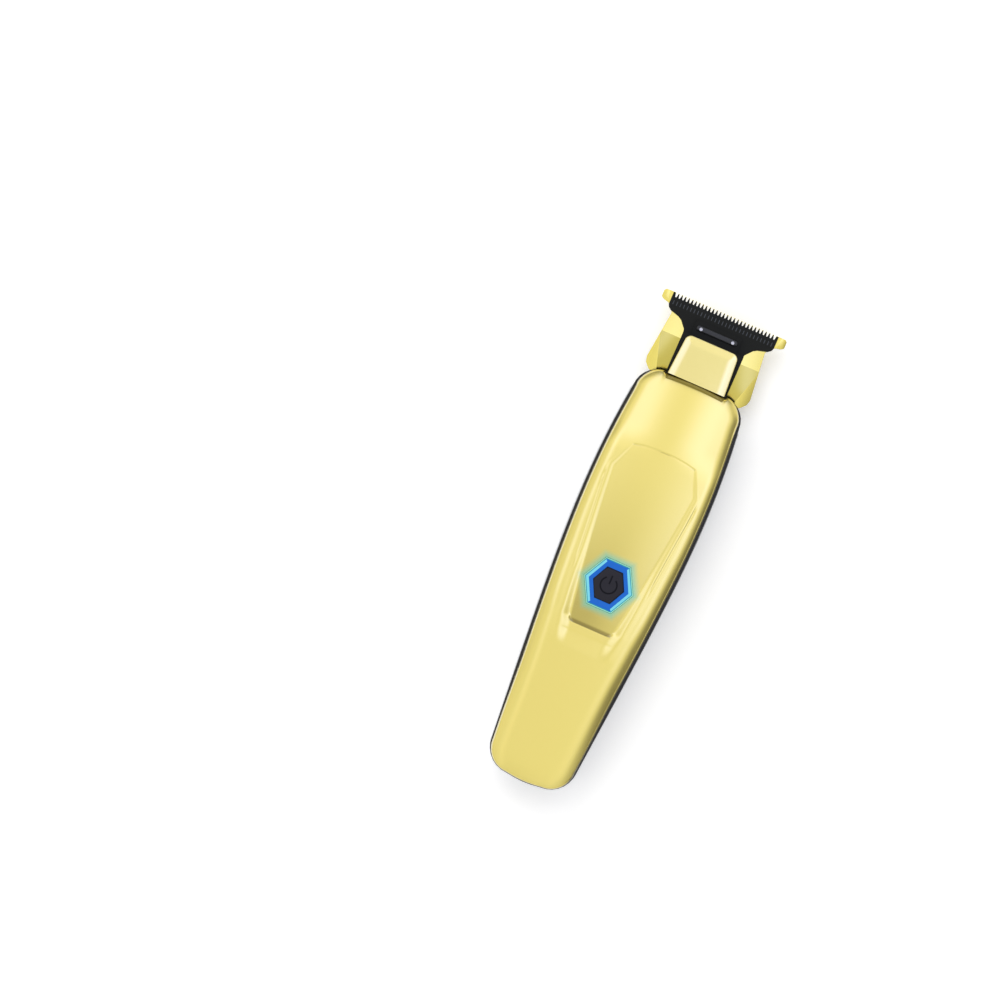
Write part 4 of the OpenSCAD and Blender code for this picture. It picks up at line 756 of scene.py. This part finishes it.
# ---------------------------------------------------------------- power button
# A moulded black hexagonal key with softened edges, held under the ring by its flange.
# A faint power symbol is pressed into its top, and its floor is painted darker: a painted shade.
key_mat = finish("black_key", (0.016, 0.015, 0.02), 0.42, scale=600, spread=0.12, relief=0.15)
key_mat.node_tree.nodes["Principled BSDF"].inputs["Specular IOR Level"].default_value = 0.2
symbol_shade_mat = finish("pressed_symbol_shade", (0.004, 0.004, 0.006), 0.5, scale=600, spread=0.1)
symbol_shade_mat.node_tree.nodes["Principled BSDF"].inputs["Specular IOR Level"].default_value = 0.1
bm = bmesh.new()
key_w, key_top = 11.45, 32.38
prism(bm, [(x, y + button_y) for x, y in hexagon_points(key_w, key_w)], 29.6, key_top)
bmesh.ops.recalc_face_normals(bm, faces=bm.faces)
edges = [e for e in bm.edges if max(v.co.z for v in e.verts) > 30]
bmesh.ops.bevel(bm, geom=edges, offset=0.5, segments=4, profile=0.5, affect="EDGES", material=-1)
key = put("power_key", bm, key_mat, "button", ["power_button"])
bm = bmesh.new()
arc = []
for radius, order in ((3.1, 1), (2.6, -1)):
    sweep = [math.radians(90 + a) for a in range(35, 326, 10)][::order]
    arc += [(radius * math.cos(a), radius * math.sin(a) + button_y) for a in sweep]
symbol_z = 32.3
prism(bm, arc, symbol_z, 33)
box_of(bm, -0.25, 0.25, button_y + 0.5, button_y + 3.5, symbol_z, 33)
carve(key, bm)
key.data.materials.append(symbol_shade_mat)
# The symbol's floor takes the painted shade
for face in key.data.polygons:
    if face.normal.z > 0.9 and 0.0322 < face.center.z < 0.03234:
        face.material_index = 1

# ---------------------------------------------------------------- carried-over pieces
# The frames, motor, bearings, boards, battery, leads, screws and rivets keep their CAD shape.
# Each takes the finish of its material slot.
slots = {
    "black_matte": finish("black_polymer", (0.012, 0.012, 0.013), 0.5, scale=600, spread=0.15, relief=0.15),
    "black_moulding": nylon,
    "steel": finish("bright_steel", (0.6, 0.6, 0.61), 0.26, metal=1.0, scale=800, spread=0.05),
    "steel_dark": finish("dark_steel", (0.2, 0.2, 0.21), 0.35, metal=1.0, scale=800, spread=0.08),
    "brass_cam": finish("turned_brass", (0.7, 0.48, 0.18), 0.3, metal=1.0, scale=800, spread=0.05),
    "magnet": finish("nickelled_magnet", (0.42, 0.42, 0.44), 0.28, metal=1.0, scale=800, spread=0.05),
    "laminations": finish("laminated_iron", (0.22, 0.23, 0.25), 0.45, metal=1.0, scale=900, spread=0.1),
    "copper": finish("enamelled_copper", (0.6, 0.2, 0.07), 0.3, metal=1.0, scale=900, spread=0.1, relief=0.4),
    "board_green": finish("circuit_board", (0.01, 0.11, 0.04), 0.4, coat=0.4, scale=600, spread=0.15),
    "cage_tan": finish("cage_resin", (0.45, 0.3, 0.14), 0.5, scale=600, spread=0.08),
    "rubber_black": finish("black_rubber", (0.015, 0.015, 0.015), 0.75, scale=700, spread=0.2, relief=0.3),
    "plunger_white": finish("white_plunger", (0.75, 0.75, 0.72), 0.45, scale=600),
    "led_yellow": finish("light_emitting_chips", (0.75, 0.6, 0.12), 0.3, coat=0.5, scale=600),
    "chip_black": finish("chip_packages", (0.02, 0.02, 0.022), 0.5, scale=700, spread=0.1),
    "capacitor_can": finish("capacitor_can", (0.6, 0.6, 0.62), 0.3, metal=1.0, scale=700),
    "connector_white": finish("connector_nylon", (0.7, 0.69, 0.62), 0.5, scale=600),
    "lead_red": finish("red_lead", (0.42, 0.015, 0.012), 0.45, scale=600, spread=0.08),
    "lead_mixed": finish("battery_lead", (0.3, 0.02, 0.018), 0.45, scale=600, spread=0.08),
    "cell_wrap": finish("cell_wrap", (0.02, 0.12, 0.3), 0.3, coat=0.5, scale=600, spread=0.05),
    "nickel": finish("nickel_strip", (0.6, 0.58, 0.52), 0.3, metal=1.0, scale=700),
    "contact_gold": finish("contact_gold", (0.85, 0.62, 0.22), 0.22, metal=1.0, scale=700),
}
remade = {
    "front_shell", "rear_shell", "fixed_blade", "cutter_blade", "cutter_guide", "neck_cover", "light_ring",
    "power_button",
}
for part in frame["record"]["subparts"]:
    if part["node"] not in remade:
        node = frame["nodes"][part["node"]]
        node.data.materials.clear()
        node.data.materials.append(slots[part["material_slot"]])
